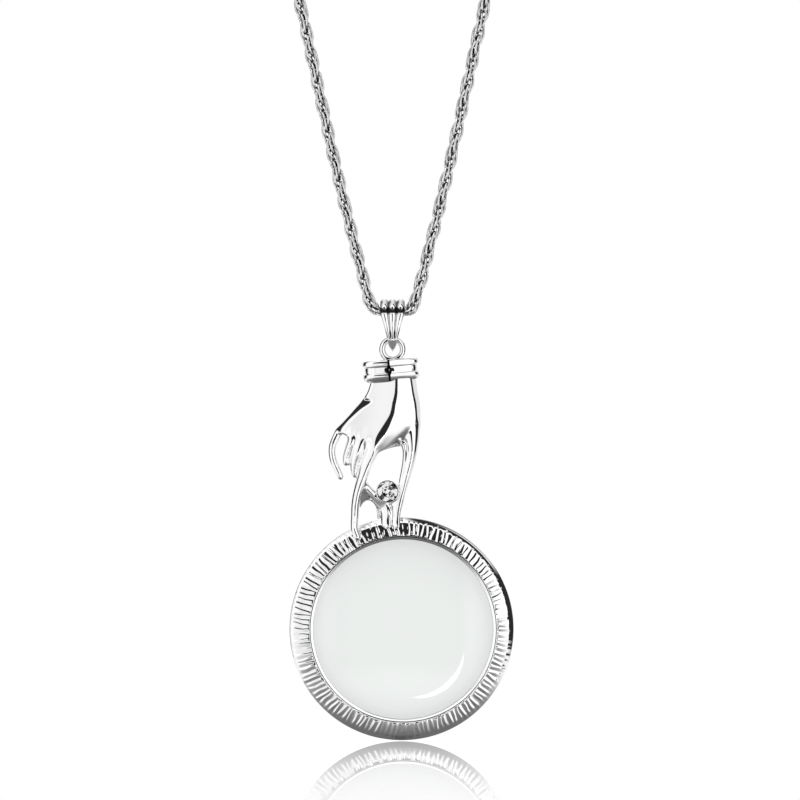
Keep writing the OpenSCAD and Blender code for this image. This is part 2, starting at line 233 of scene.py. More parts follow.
def dressed(
    piece: bpy.types.Object, node: str, slot: str, body: Body, *finishes: bpy.types.Material
) -> bpy.types.Object:
    """Gives a piece its finishes and its place in the model.

    Args:
        piece: New piece.
        node: Node of the model that it stands for.
        slot: Material slot of the record; not used.
        body: Body that it rides on.
        *finishes: Its materials, in the order of its faces' numbers.

    Returns:
        The same piece.
    """
    for finish in finishes:
        piece.data.materials.append(finish)
    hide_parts(node)
    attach(piece, body.value)
    return piece


# ---------------------------------------------------------------- shader maths


class Value:
    """A number socket of a node tree, with Python arithmetic."""

    def __init__(self, graph: "Graph", socket: bpy.types.NodeSocket) -> None:
        """Keeps the graph and the socket."""
        self.graph = graph
        self.socket = socket

    def __add__(self, other: "Number") -> "Value":
        """This plus other."""
        return self.graph.maths("ADD", self, other)

    __radd__ = __add__

    def __sub__(self, other: "Number") -> "Value":
        """This minus other."""
        return self.graph.maths("SUBTRACT", self, other)

    def __rsub__(self, other: "Number") -> "Value":
        """Other minus this."""
        return self.graph.maths("SUBTRACT", other, self)

    def __mul__(self, other: "Number") -> "Value":
        """This times other."""
        return self.graph.maths("MULTIPLY", self, other)

    __rmul__ = __mul__

    def __truediv__(self, other: "Number") -> "Value":
        """This over other."""
        return self.graph.maths("DIVIDE", self, other)

    def __rtruediv__(self, other: "Number") -> "Value":
        """Other over this."""
        return self.graph.maths("DIVIDE", other, self)

    def __neg__(self) -> "Value":
        """This with its sign turned."""
        return self * -1.0

    def clamped(self) -> "Value":
        """This, held between 0 and 1."""
        return self.graph.maths("MINIMUM", self.graph.maths("MAXIMUM", self, 0.0), 1.0)

    def ramp(self, low: float, high: float) -> "Value":
        """Share from 0 where this is low to 1 where it is high."""
        return ((self - low) / (high - low)).clamped()


Number = Value | float


class Graph:
    """Adds nodes to one node tree."""

    def __init__(self, tree: bpy.types.NodeTree) -> None:
        """Starts with an empty tree."""
        self.tree = tree
        tree.nodes.clear()

    @staticmethod
    def of_material(name: str) -> tuple[bpy.types.Material, "Graph"]:
        """New material of that name, and its empty graph.

        Args:
            name: Name of the material.

        Returns:
            The material and the graph.
        """
        made = bpy.data.materials.new(name)
        made.use_nodes = True
        return made, Graph(made.node_tree)

    def node(self, kind: str, settings: dict | None = None, inputs: dict | None = None) -> bpy.types.Node:
        """Adds a node.

        Args:
            kind: Type of the node.
            settings: Its own settings, which are set first.
            inputs: Values or links of its sockets, by name or number.

        Returns:
            The new node.
        """
        made = self.tree.nodes.new(kind)
        for name, value in (settings or {}).items():
            if name == "stops":
                self._set_stops(made.color_ramp, value)
            else:
                setattr(made, name, value)
        for name, value in (inputs or {}).items():
            if isinstance(value, Value):
                self.tree.links.new(value.socket, made.inputs[name])
            elif isinstance(value, bpy.types.NodeSocket):
                self.tree.links.new(value, made.inputs[name])
            else:
                made.inputs[name].default_value = value
        return made

    @staticmethod
    def _set_stops(ramp: bpy.types.ColorRamp, stops: Table) -> None:
        """Sets a ramp's stops.

        Args:
            ramp: Ramp of a node.
            stops: Place and grey level of each stop.
        """
        while len(ramp.elements) > 1:
            ramp.elements.remove(ramp.elements[-1])
        ramp.elements[0].position = stops[0][0]
        for place, _ in stops[1:]:
            ramp.elements.new(place)
        for element, (_, level) in zip(ramp.elements, stops):
            element.color = (level, level, level, 1.0)

    def maths(self, operation: str, *values: Number) -> Value:
        """Adds a Math node.

        Args:
            operation: Its operation.
            *values: Its numbers or links.

        Returns:
            Its result.
        """
        made = self.node("ShaderNodeMath", {"operation": operation}, dict(enumerate(values)))
        return Value(self, made.outputs[0])

    def grey(self, place: Number, stops: Table) -> Value:
        """Adds a ramp of greys.

        Args:
            place: Where on the ramp, from 0 to 1.
            stops: Place and grey level of each stop.

        Returns:
            The grey level.
        """
        made = self.node("ShaderNodeValToRGB", {"stops": stops}, {"Fac": place})
        return Value(self, made.outputs["Color"])

    def along(self, value: Value, low: float, high: float, table: Table) -> Value:
        """Grey level along a value.

        Args:
            value: The value.
            low: Its least.
            high: Its most.
            table: Value and grey level of each stop.

        Returns:
            The grey level.
        """
        return self.grey((value - low) / (high - low), [((at - low) / (high - low), level) for at, level in table])

    def blend(self, share: Number, low: object, high: object) -> Value:
        """Adds a Mix node for colours.

        Args:
            share: Share of high.
            low: Colour at 0.
            high: Colour at 1.

        Returns:
            The blended colour.
        """
        made = self.node("ShaderNodeMix", {"data_type": "RGBA"}, {0: share, 6: low, 7: high})
        return Value(self, made.outputs[2])

    def noise(self, scale: float, detail: float, where: bpy.types.NodeSocket) -> Value:
        """Adds a Noise Texture.

        Args:
            scale: Its scale.
            detail: Its detail.
            where: Its coordinates.

        Returns:
            Its value.
        """
        made = self.node("ShaderNodeTexNoise", {}, {"Vector": where, "Scale": scale, "Detail": detail})
        return Value(self, made.outputs[0])

    def where(self, kind: str = "Object") -> bpy.types.NodeSocket:
        """Coordinates of one kind."""
        return self.node("ShaderNodeTexCoord").outputs[kind]

    def split(self, vector: bpy.types.NodeSocket) -> list[Value]:
        """The three parts of a vector."""
        made = self.node("ShaderNodeSeparateXYZ", {}, {0: vector})
        return [Value(self, part) for part in made.outputs]

    def shader_out(self, shader: bpy.types.NodeSocket) -> None:
        """Links a shader to the material's output."""
        self.node("ShaderNodeOutputMaterial", {}, {"Surface": shader})


# ---------------------------------------------------------------- finishes


@dataclass(frozen=True)
class PolishedPlate:
    """Bright silver-tone plate with faint polishing marks, with painted shade in its recesses if asked for."""

    name: str
    colour: tuple[float, float, float] = (0.93, 0.93, 0.935)
    roughness: float = 0.045
    spread: float = 0.05
    mean_wear: float = 0.35
    worn_tone: float = 0.97
    wave_height: float = 0.004
    wave_scale: float = 260.0
    wear_scale: float = 650.0
    bump: float = 0.12
    painted_recess_shade: bool = False
    # Colour of the painted shade, and the openness over which it fades out.
    dark: tuple[float, float, float] = (0.02, 0.02, 0.022)
    dark_to: float = 0.5
    bright_from: float = 0.92

    def material(self) -> bpy.types.Material:
        """The plate as a material.

        Returns:
            The new material.
        """
        made, graph = Graph.of_material(self.name)
        where = graph.where()
        wear = graph.noise(self.wear_scale, 3.0, where)
        waves = graph.noise(self.wave_scale, 2.0, where)
        dull = (self.roughness + self.spread * (wear - self.mean_wear)).clamped()
        tone = graph.blend(wear, (*[c * self.worn_tone for c in self.colour], 1.0), (*self.colour, 1.0))
        # Painted shade: the colour darkens where a piece's openness values are low, in place of the shade in its
        # recesses.
        if self.painted_recess_shade:
            away = Value(graph, graph.node("ShaderNodeAttribute", {"attribute_name": OPENNESS}).outputs["Fac"])
            shown = ((away - self.dark_to) / (self.bright_from - self.dark_to)).clamped()
            tone = graph.blend(shown, (*self.dark, 1.0), tone)
        depth = {"Strength": self.bump, "Distance": self.wave_height * MM, "Height": waves}
        bump = graph.node("ShaderNodeBump", {}, depth)
        look = {"Base Color": tone, "Roughness": dull, "Metallic": 1.0, "Normal": bump.outputs[0]}
        graph.shader_out(graph.node("ShaderNodeBsdfPrincipled", {}, look).outputs[0])
        return made


@dataclass(frozen=True)
class ClearGlass:
    """Clear glass with a faint green tint of its own, greyer towards the rim of a round piece, where the rim's shade
    is painted into its colour.
    """

    name: str
    middle: tuple[float, float, float] = (0.868, 0.895, 0.875)
    edge: tuple[float, float, float] = (0.72, 0.74, 0.73)
    centre: tuple[float, float, float] = (0.0, 0.0, 0.0)
    radius: float = 18.0
    index: float = 1.5
    towards_edge: Table = ((0.5, 0.0), (0.76, 0.15), (0.84, 0.33), (0.89, 0.48), (0.945, 0.8), (1.0, 1.0))

    def material(self) -> bpy.types.Material:
        """The glass as a material.

        Returns:
            The new material.
        """
        made, graph = Graph.of_material(self.name)
        middle = tuple((np.array(self.centre) - NAPE) * MM)
        away = graph.node("ShaderNodeVectorMath", {"operation": "DISTANCE"}, {0: graph.where(), 1: middle})
        share = Value(graph, away.outputs["Value"]) / (self.radius * MM)
        # The glass's own tint, with painted shade from the rim darkening it towards the edge.
        tint_and_shade = graph.blend(graph.grey(share, self.towards_edge), (*self.middle, 1.0), (*self.edge, 1.0))
        look = {"Base Color": tint_and_shade, "Roughness": 0.0, "IOR": self.index, "Transmission Weight": 1.0}
        graph.shader_out(graph.node("ShaderNodeBsdfPrincipled", {}, look).outputs[0])
        return made


# ---------------------------------------------------------------- rope chain


@dataclass
class RopeChain:
    """Rope of oval links, each of which passes through the three before it."""

    route: Table = (
        (0, 0, 0), (2.6, 0, 0.05), (3.8, 0, 0.8), (4.5, 0.1, 2.2), (5.1, 0.4, 4.2), (6.2, 0.9, 8.4),
        (10.8, 3, 27), (18.3, 7, 61), (25, 10.5, 91), (31.6, 14, 121), (38.3, 17.5, 151), (44.9, 21, 181),
        (50, 24.5, 205), (54, 29, 225), (56.5, 35.5, 238), (57.5, 45, 247.5),
        (56, 60, 254.5), (48.5, 75, 258), (35.5, 87.5, 260), (18, 94.5, 260.5),
    )
    end: tuple[float, float, float] = (5.08, 96, 260.5)
    pitch: float = 1.1
    turn: float = math.radians(40)
    half_length: float = 2.06
    half_width: float = 1.05
    squareness: float = 0.91
    bow: float = 0.34
    wire_r: float = 0.23
    wire_sides: int = 6
    link_steps: int = 22
    route_steps: int = 24

    def centre_line(self) -> tuple[np.ndarray, np.ndarray]:
        """Middle of the whole chain from the left end to the right end.

        Returns:
            Closely spaced points, and the length up to each.
        """
        half = smooth_rows(np.array(self.route + (self.end,), float), self.route_steps)
        whole = np.concatenate([half[:0:-1] * [-1, 1, 1], half])
        steps = np.linalg.norm(np.diff(whole, axis=0), axis=1)
        return whole, np.concatenate([[0], np.cumsum(steps)])

    @staticmethod
    def carried_sides(line: np.ndarray) -> tuple[np.ndarray, np.ndarray]:
        """Two directions across the chain that turn no more than it does.

        Args:
            line: Points along the chain.

        Returns:
            The two directions at each point.
        """
        way = np.gradient(line, axis=0)
        way /= np.linalg.norm(way, axis=1, keepdims=True)
        first = np.zeros_like(way)
        side = np.array([0.0, 1.0, 0.0])
        for i, run in enumerate(way):
            side = side - (side @ run) * run
            side /= np.linalg.norm(side)
            first[i] = side
        return first, np.cross(way, first)

    def link_wire(self) -> np.ndarray:
        """Rings of one link's wire, across the chain and along it.

        Returns:
            Array of rings, points and coordinates.
        """
        t = circle(self.link_steps)
        across, along = (
            size * np.sign(part) * np.abs(part) ** self.squareness
            for size, part in ((self.half_width, np.cos(t)), (self.half_length, np.sin(t)))
        )
        deep = self.bow * ((along / self.half_length) ** 2 - 0.5)
        line = np.stack([across, deep, along], axis=1)
        way = np.roll(line, -1, axis=0) - np.roll(line, 1, axis=0)
        way /= np.linalg.norm(way, axis=1, keepdims=True)
        out = np.cross(way, [0.0, 1.0, 0.0])
        out /= np.linalg.norm(out, axis=1, keepdims=True)
        up = np.cross(out, way)
        a = circle(self.wire_sides)
        return line[:, None] + self.wire_r * (
            np.cos(a)[None, :, None] * out[:, None] + np.sin(a)[None, :, None] * up[:, None]
        )

    def links(self) -> tuple[Skin, Skin, np.ndarray]:
        """All links of the left and of the right run.

        Returns:
            The two surfaces, and how far from the middle of the chain one link's points lie.
        """
        line, length = self.centre_line()
        first, second = self.carried_sides(line)
        wire = self.link_wire()
        reach = self.half_length + self.wire_r
        count = int((length[-1] / 2 - reach) / self.pitch)
        runs: tuple[list[Skin], list[Skin]] = ([], [])
        for k in range(-count, count + 1):
            c, s = math.cos(k * self.turn), math.sin(k * self.turn)
            across = wire[..., 0] * c - wire[..., 1] * s
            deep = wire[..., 0] * s + wire[..., 1] * c
            at = length[-1] / 2 + k * self.pitch + wire[..., 2]
            bent = [
                np.stack([np.interp(at, length, part[:, axis]) for axis in range(3)], axis=-1)
                for part in (line, first, second)
            ]
            rings = bent[0] + across[..., None] * bent[1] + deep[..., None] * bent[2]
            runs[0 if k < 0 else 1].append(Skin.over_rings(rings, closed=True))
        return Skin.joined(runs[0]), Skin.joined(runs[1]), np.hypot(wire[..., 0], wire[..., 1]).ravel()

    def build(self, plate: bpy.types.Material) -> list[bpy.types.Object]:
        """Builds and dresses both runs.

        Args:
            plate: Finish of the links.

        Returns:
            The two runs.
        """
        *skins, away = self.links()
        runs = []
        for side, skin in zip(("left", "right"), skins):
            run = skin.mesh(f"rope_links_{side}")
            # Painted shade: link points near the middle of the rope are darkened, as the shade between the links.
            openness(run, np.tile(away, len(skin.points) // len(away)))
            runs.append(dressed(run, f"rope_chain_{side}", "chain", Body.CHAIN, plate))
        return runs


@dataclass
class Clasp:
    """Plain barrel with rounded ends, behind the neck."""

    width: float = 3.6
    length: float = 10.0
    back: float = 96.0
    up: float = 260.5
    round_share: float = 0.16
    groove: Table = ((0.62, 0.0), (0.6, 0.08), (0.56, 0.08), (0.54, 0.0))
    sides: int = 48

    def build(self, plate: bpy.types.Material) -> list[bpy.types.Object]:
        """Builds and dresses the barrel.

        Args:
            plate: Its finish.

        Returns:
            The barrel.
        """
        r, half, round_r = self.width / 2, self.length / 2, self.width * self.round_share
        arc = np.radians(np.linspace(0, 90, 7))[::-1]
        right = np.stack([half - round_r + round_r * np.cos(arc), r - round_r + round_r * np.sin(arc)], 1)
        groove = np.array([(half * share, r - deep) for share, deep in self.groove])
        line = np.concatenate([right[::-1], groove, (groove * [-1, 1])[::-1], right * [-1, 1]])
        a = circle(self.sides)
        along, out = line[:, :1] + 0 * a, line[:, 1:]
        rings = np.stack([along, self.back + out * np.cos(a), self.up + out * np.sin(a)], axis=-1)
        barrel = Skin.over_rings(rings[::-1]).mesh("clasp_barrel")
        return [dressed(barrel, "clasp", "clasp", Body.CHAIN, plate)]


# ---------------------------------------------------------------- bail


@dataclass
class RibbedBail:
    """Band of three round ribs over the chain, pinched to a narrow foot."""

    width: float = 4.8
    thick: float = 0.8
    foot_thick: float = 1.5
    drop: float = 5.4
    over: float = 1.7
    under: float = 0.85
    stations: tuple[int, int, int] = (14, 41, 29)
    ribs: int = 3
    rib_cuts: int = 14
    rib_depth: float = 0.64
    rib_power: float = 0.6
    taper: Table = (
        (-0.4, 1), (0.05, 1), (0.5, 0.68), (0.95, 0.41), (1.0, 0.396), (1.04, 0.367), (1.079, 0.32),
        (1.111, 0.22), (1.13, 0.13), (1.157, 0.2),
    )
    tuck: Table = ((-0.09, 0), (0.03, 0.3), (0.25, 0.12), (0.6, 0))
    swell: Table = ((0.6, 0), (0.88, 0.6), (0.925, 0.73), (1.0, 0.66))
    plain: Table = ((0.78, 0), (0.93, 1))
    crown: Table = ((1.13, 0.08), (1.157, 0.6))
    tongue_tilt: float = math.radians(15)
    tongue_face: float = 2.085
    tongue_end: float = 2.35
    tongue_corner: int = 12
    # Painted shade: a dark band where the top turns into the legs, and dark lines down the rib valleys.
    notch_shade: Table = ((-0.095, 0), (-0.07, 1), (0.0, 1), (0.03, 0))
    notch_shade_longer: float = 0.8
    notch_shade_on_ribs: float = 0.75
    valley_shade: Table = ((0.02, 0.8), (0.12, 0.25), (0.62, 0.25), (0.74, 1.1), (0.9, 1.3), (0.96, 0))
    darkening: float = 0.6
    shut_at: list[np.ndarray] = field(default_factory=list)

    def thickness(self, share: float) -> float:
        """Thickness of the band, which ends in a tilted flat tongue below.

        Args:
            share: How far down the band the station lies.

        Returns:
            The thickness.
        """
        under = math.asin(np.clip((share - 1) * self.drop / self.under, 0, 1))
        if under <= 0:
            return self.thick + (self.foot_thick - self.thick) * at_table(share, self.swell)
        face = self.tongue_face / math.cos(under - self.tongue_tilt)
        end = self.tongue_end / math.sin(under)
        power = self.tongue_corner
        return (face**-power + end**-power) ** (-1 / power) - self.under

    def section(self, inside: np.ndarray, out: np.ndarray) -> np.ndarray:
        """Section of the band at one station.

        Args:
            inside: Place on the band's inside, back and up.
            out: Direction away from the inside.

        Returns:
            Points of the section.
        """
        share = -inside[1] / self.drop
        half = self.width / 2 * at_table(share, self.taper)
        cuts = self.ribs * self.rib_cuts
        k = np.arange(cuts + 1)
        across = 2 * k / cuts - 1
        valley = 1 - np.abs(np.sin(math.pi * (k % self.rib_cuts) / self.rib_cuts)) ** self.rib_power
        rib = 1 - self.rib_depth * (2 * half / self.width) * valley
        ridge = 1 - at_table(share, self.crown) * (1 - np.cos(math.pi / 2 * across))
        plain = at_table(share, self.plain)
        high = self.thickness(share) * (rib * (1 - plain) + ridge * plain) - at_table(share, self.tuck)
        # Painted shade of this station: the dark band below the top and the dark rib valleys.
        notch_shade = at_table(share / (1 + self.notch_shade_longer * valley), self.notch_shade)
        notch_shade = notch_shade * (self.notch_shade_on_ribs + (1 - self.notch_shade_on_ribs) * valley)
        shut = notch_shade + at_table(share, self.valley_shade) * np.sqrt(valley)
        self.shut_at.append(np.concatenate([shut[:1], shut, shut[-1:]]))
        across = np.concatenate([[-1], across, [1]])
        high = np.concatenate([[0], high, [0]])
        return np.stack([half * across, inside[0] + out[0] * high, inside[1] + out[1] * high], axis=1)

    def rings(self) -> np.ndarray:
        """Stations all the way round the band's loop.

        Returns:
            Array of rings, points and coordinates.
        """
        lean = math.asin((self.over - self.under) / self.drop)
        leg, over, under = self.stations
        legs = np.linspace(0, 1, leg)[1:-1]
        top, foot = np.linspace(-lean, math.pi + lean, over), np.linspace(math.pi + lean, TAU - lean, under)
        stops = [(a, 0.0) for a in top] + [(math.pi + lean, share) for share in legs]
        stops += [(a, 1.0) for a in foot] + [(-lean, share) for share in legs[::-1]]
        stations = []
        for a, share in stops:
            out = np.array([math.cos(a), math.sin(a)])
            r = self.over + (self.under - self.over) * share
            stations.append(self.section(np.array([r * out[0], r * out[1] - self.drop * share]), out))
        return np.array(stations)

    def build(self, plate: bpy.types.Material) -> list[bpy.types.Object]:
        """Builds and dresses the bail.

        Args:
            plate: Its finish.

        Returns:
            The bail.
        """
        band = Skin.over_rings(self.rings(), closed=True).mesh("ribbed_bail")
        # Painted shade on the bail, from the marks of each station.
        openness(band, 1 - self.darkening * np.concatenate(self.shut_at))
        return [dressed(band, "bail", "bail", Body.BAIL, plate)]


# ---------------------------------------------------------------- casting

# Rows of the casting's limbs: place across as a share of the hand's width and down as a
# share of its length, depth as a share of its thickness, half width, depth of the front and
# of the back, place of the front's crease from -1 at the left edge to 1, and its crown.
INDEX = (
    (-0.15, 0.345, -0.1, 0.09, 0.25, 0.265, 0.1, 1.9),
    (-0.2, 0.43, -0.135, 0.092, 0.3, 0.25, 0.2, 1.8),
    (-0.245, 0.525, -0.165, 0.078, 0.275, 0.215, 0.45, 1.7),
    (-0.295, 0.605, -0.2, 0.069, 0.235, 0.185, 0.5, 1.7),
    (-0.325, 0.68, -0.235, 0.061, 0.21, 0.165, 0.25, 1.7),
    (-0.36, 0.755, -0.265, 0.055, 0.185, 0.16, 0.05, 1.8),
    (-0.392, 0.825, -0.3, 0.049, 0.165, 0.15, 0.1, 1.8),
    (-0.412, 0.9, -0.335, 0.047, 0.16, 0.14, 0.1, 1.8),
    (-0.418, 0.975, -0.375, 0.045, 0.15, 0.135, 0, 1.9),
)
MIDDLE = (
    (-0.315, 0.37, -0.1, 0.09, 0.235, 0.235, 0, 2),
    (-0.35, 0.445, -0.135, 0.077, 0.24, 0.215, 0, 2),
    (-0.385, 0.52, -0.15, 0.069, 0.217, 0.185, 0, 2),
    (-0.415, 0.585, -0.15, 0.056, 0.175, 0.165, 0, 2),
    (-0.427, 0.645, -0.135, 0.042, 0.148, 0.15, 0, 2),
    (-0.42, 0.69, -0.115, 0.032, 0.135, 0.115, 0, 2),
)
RING = (
    (-0.425, 0.355, -0.03, 0.078, 0.21, 0.215, 0, 2),
    (-0.45, 0.43, -0.1, 0.056, 0.228, 0.185, 0, 2),
    (-0.485, 0.495, -0.115, 0.047, 0.193, 0.16, 0, 2),
    (-0.515, 0.555, -0.115, 0.04, 0.16, 0.14, 0, 2),
    (-0.518, 0.6, -0.1, 0.037, 0.15, 0.135, 0, 2),
)
LITTLE = (
    (-0.53, 0.335, 0.12, 0.045, 0.08, 0.16, 0, 2),
    (-0.59, 0.37, 0.11, 0.045, 0.09, 0.13, 0, 2),
    (-0.632, 0.42, 0.06, 0.045, 0.13, 0.14, 0, 2),
    (-0.67, 0.48, 0.035, 0.041, 0.14, 0.135, 0, 2),
    (-0.672, 0.54, 0.035, 0.04, 0.135, 0.125, 0, 2),
    (-0.65, 0.6, 0.015, 0.04, 0.135, 0.125, 0, 2),
    (-0.605, 0.665, 0, 0.039, 0.125, 0.115, 0, 2),
    (-0.578, 0.705, 0, 0.036, 0.115, 0.11, 0, 2),
)
THUMB = (
    (0.195, 0.32, 0, 0.11, 0.28, 0.25, 0, 2),
    (0.212, 0.41, -0.015, 0.089, 0.29, 0.235, 0, 2),
    (0.219, 0.495, -0.05, 0.062, 0.25, 0.2, 0, 2),
    (0.202, 0.58, -0.065, 0.051, 0.21, 0.175, 0, 2),
    (0.173, 0.66, -0.075, 0.046, 0.185, 0.165, 0, 2),
    (0.146, 0.73, -0.085, 0.041, 0.165, 0.15, 0, 2),
    (0.112, 0.805, -0.085, 0.04, 0.165, 0.15, 0.3, 2),
    (0.062, 0.88, -0.085, 0.064, 0.165, 0.16, 0.6, 1.7),
    (0.037, 0.945, -0.09, 0.062, 0.175, 0.165, 0.75, 1.6),
    (0.035, 1.01, -0.115, 0.052, 0.19, 0.185, 0.75, 1.6),
    (0.033, 1.05, -0.15, 0.055, 0.19, 0.185, 0.75, 1.6),
)
THUMB_SIDE = (
    (0.126, 0.465, -0.035, 0.032, 0.21, 0.15, 0, 2),
    (0.141, 0.52, -0.04, 0.03, 0.185, 0.14, 0, 2),
    (0.137, 0.585, -0.05, 0.029, 0.165, 0.135, 0, 2),
    (0.119, 0.66, -0.05, 0.028, 0.16, 0.135, 0, 2),
    (0.098, 0.73, -0.05, 0.027, 0.15, 0.135, 0, 2),
    (0.08, 0.8, -0.05, 0.026, 0.15, 0.135, 0, 2),
)
ARM = (
    (-0.312, 0.765, -0.115, 0.047, 0.15, 0.15, 0, 2),
    (-0.247, 0.815, -0.1, 0.05, 0.16, 0.15, 0, 2),
    (-0.18, 0.865, -0.085, 0.052, 0.165, 0.16, 0.4, 1.8),
    (-0.09, 0.92, -0.085, 0.066, 0.165, 0.165, 0.7, 1.6),
    (-0.07, 0.965, -0.09, 0.064, 0.175, 0.165, 0.75, 1.6),
    (-0.072, 1.02, -0.115, 0.059, 0.19, 0.185, 0.75, 1.6),
    (-0.072, 1.05, -0.15, 0.059, 0.19, 0.185, 0.75, 1.6),
)
WEB = (
    (-0.345, 0.745, -0.08, 0.04, 0.2, 0.2, 0, 2),
    (-0.312, 0.82, -0.08, 0.08, 0.2, 0.2, 0, 2),
    (-0.278, 0.865, -0.08, 0.1, 0.3, 0.3, 0, 2),
    (-0.25, 0.92, -0.08, 0.125, 0.3, 0.3, 0, 2),
    (-0.24, 1.02, -0.08, 0.13, 0.3, 0.3, 0, 2),
)
# Rows of the palm in millimetres: height, left edge, crease, right edge, depth of the front
# and of the back, half width of the crease, widths of the steep left and right edges, and
# how steeply its left side falls.
PALM_BACK = (
    (-12.6, -4.1, 0.85, 4.5, 2.83, 2.28, 0.33, 0.42, 1.05, 0.18),
    (-14.2, -4.4, 0.84, 4.72, 2.84, 2.24, 0.37, 0.42, 1.05, 0.18),
    (-15.8, -4.95, 0.79, 4.95, 2.85, 2.1, 0.5, 0.42, 1.05, 0.18),
    (-16.7, -5.5, 0.64, 5.12, 2.86, 2.06, 0.58, 0.42, 1.05, 0.18),
    (-17.1, -5.8, 0.56, 5.2, 2.87, 2.05, 0.62, 0.42, 1.05, 0.18),
    (-17.25, -5.9, 0.5, 5.25, 2.87, 2.04, 0.64, 2.7, 1.05, 0.18),
    (-17.85, -6.4, 0.38, 5.35, 2.89, 2.02, 0.66, 2.15, 1.05, 0.18),
    (-18.9, -7.3, 0.2, 5.45, 2.91, 1.98, 0.68, 1.45, 1, 0.18),
    (-19.95, -8.2, 0.01, 5.5, 2.93, 1.93, 0.72, 1.15, 0.95, 0.18),
    (-21, -9.15, -0.49, 5.48, 2.95, 1.85, 0.93, 0.95, 0.9, 0.18),
    (-22.1, -10.1, -1.03, 5.3, 2.95, 1.8, 1.24, 0.95, 0.85, 0.18),
    (-23.1, -11.05, -1.59, 5.25, 2.95, 1.72, 1.49, 1.1, 0.8, 0.19),
    (-23.8, -11.2, -1.98, 5.15, 2.94, 1.68, 1.65, 1.1, 0.8, 0.2),
    (-24.25, -9.3, -2.27, 5.1, 2.93, 1.62, 1.74, 0.85, 0.8, 0.22),
    (-25.2, -8, -2.86, 4.6, 2.88, 1.4, 1.78, 0.6, 0.8, 0.36),
    (-26.2, -6, -3.24, 3, 2.8, 1.1, 1.34, 0.4, 0.8, 0.6),
    (-27.3, -5.2, -3.51, -2.2, 2.6, 0.9, 0.6, 0.3, 0.5, 0.9),
    (-28.05, -5.3, -3.8, -2.8, 2.5, 0.9, 0.5, 0.3, 0.4, 0.9),
    (-28.7, -5.5, -4.2, -3.25, 2.4, 0.9, 0.4, 0.3, 0.4, 0.9),
    (-29.7, -5.9, -4.8, -3.85, 2.2, 0.9, 0.4, 0.3, 0.4, 0.9),
    (-30.7, -6.2, -5.3, -4.4, 1.9, 0.9, 0.4, 0.3, 0.4, 0.9),
)
CUFF_LINE = (
    (0.86, 0), (0.93, 0.04), (0.97, 0.1), (0.99, 0.17), (1, 0.25), (0.995, 0.32), (0.975, 0.375),
    (0.935, 0.395), (0.925, 0.42), (0.93, 0.48), (0.935, 0.54), (0.93, 0.61), (0.925, 0.67), (0.94, 0.69),
    (0.975, 0.71), (0.995, 0.77), (1, 0.84), (0.985, 0.91), (0.95, 0.965), (0.9, 0.99), (0.86, 1),
)


def softly_joined(a: np.ndarray, b: np.ndarray, reach: float) -> np.ndarray:
    """Field of two bodies together, with a fillet where they meet.

    Args:
        a: Field of one body, positive inside.
        b: Field of the other.
        reach: Size of the fillet.

    Returns:
        The field of both.
    """
    share = np.clip(0.5 + 0.5 * (a - b) / reach, 0, 1)
    return b + (a - b) * share + reach * share * (1 - share)


@dataclass(frozen=True)
class PalmEdges:
    """How the front of the palm falls towards its edges, in millimetres and slopes."""

    right_drop: float = 0.25
    arch: float = 0.006
    left_fall: float = 0.93
    left_soft: float = 0.12
    left_least: float = 0.1
    right_least: float = 0.6
    right_bend: float = 0.48
    right_falls: tuple[float, float] = (0.58, 1.388)
    back_least: float = 0.2
    evenings: int = 10


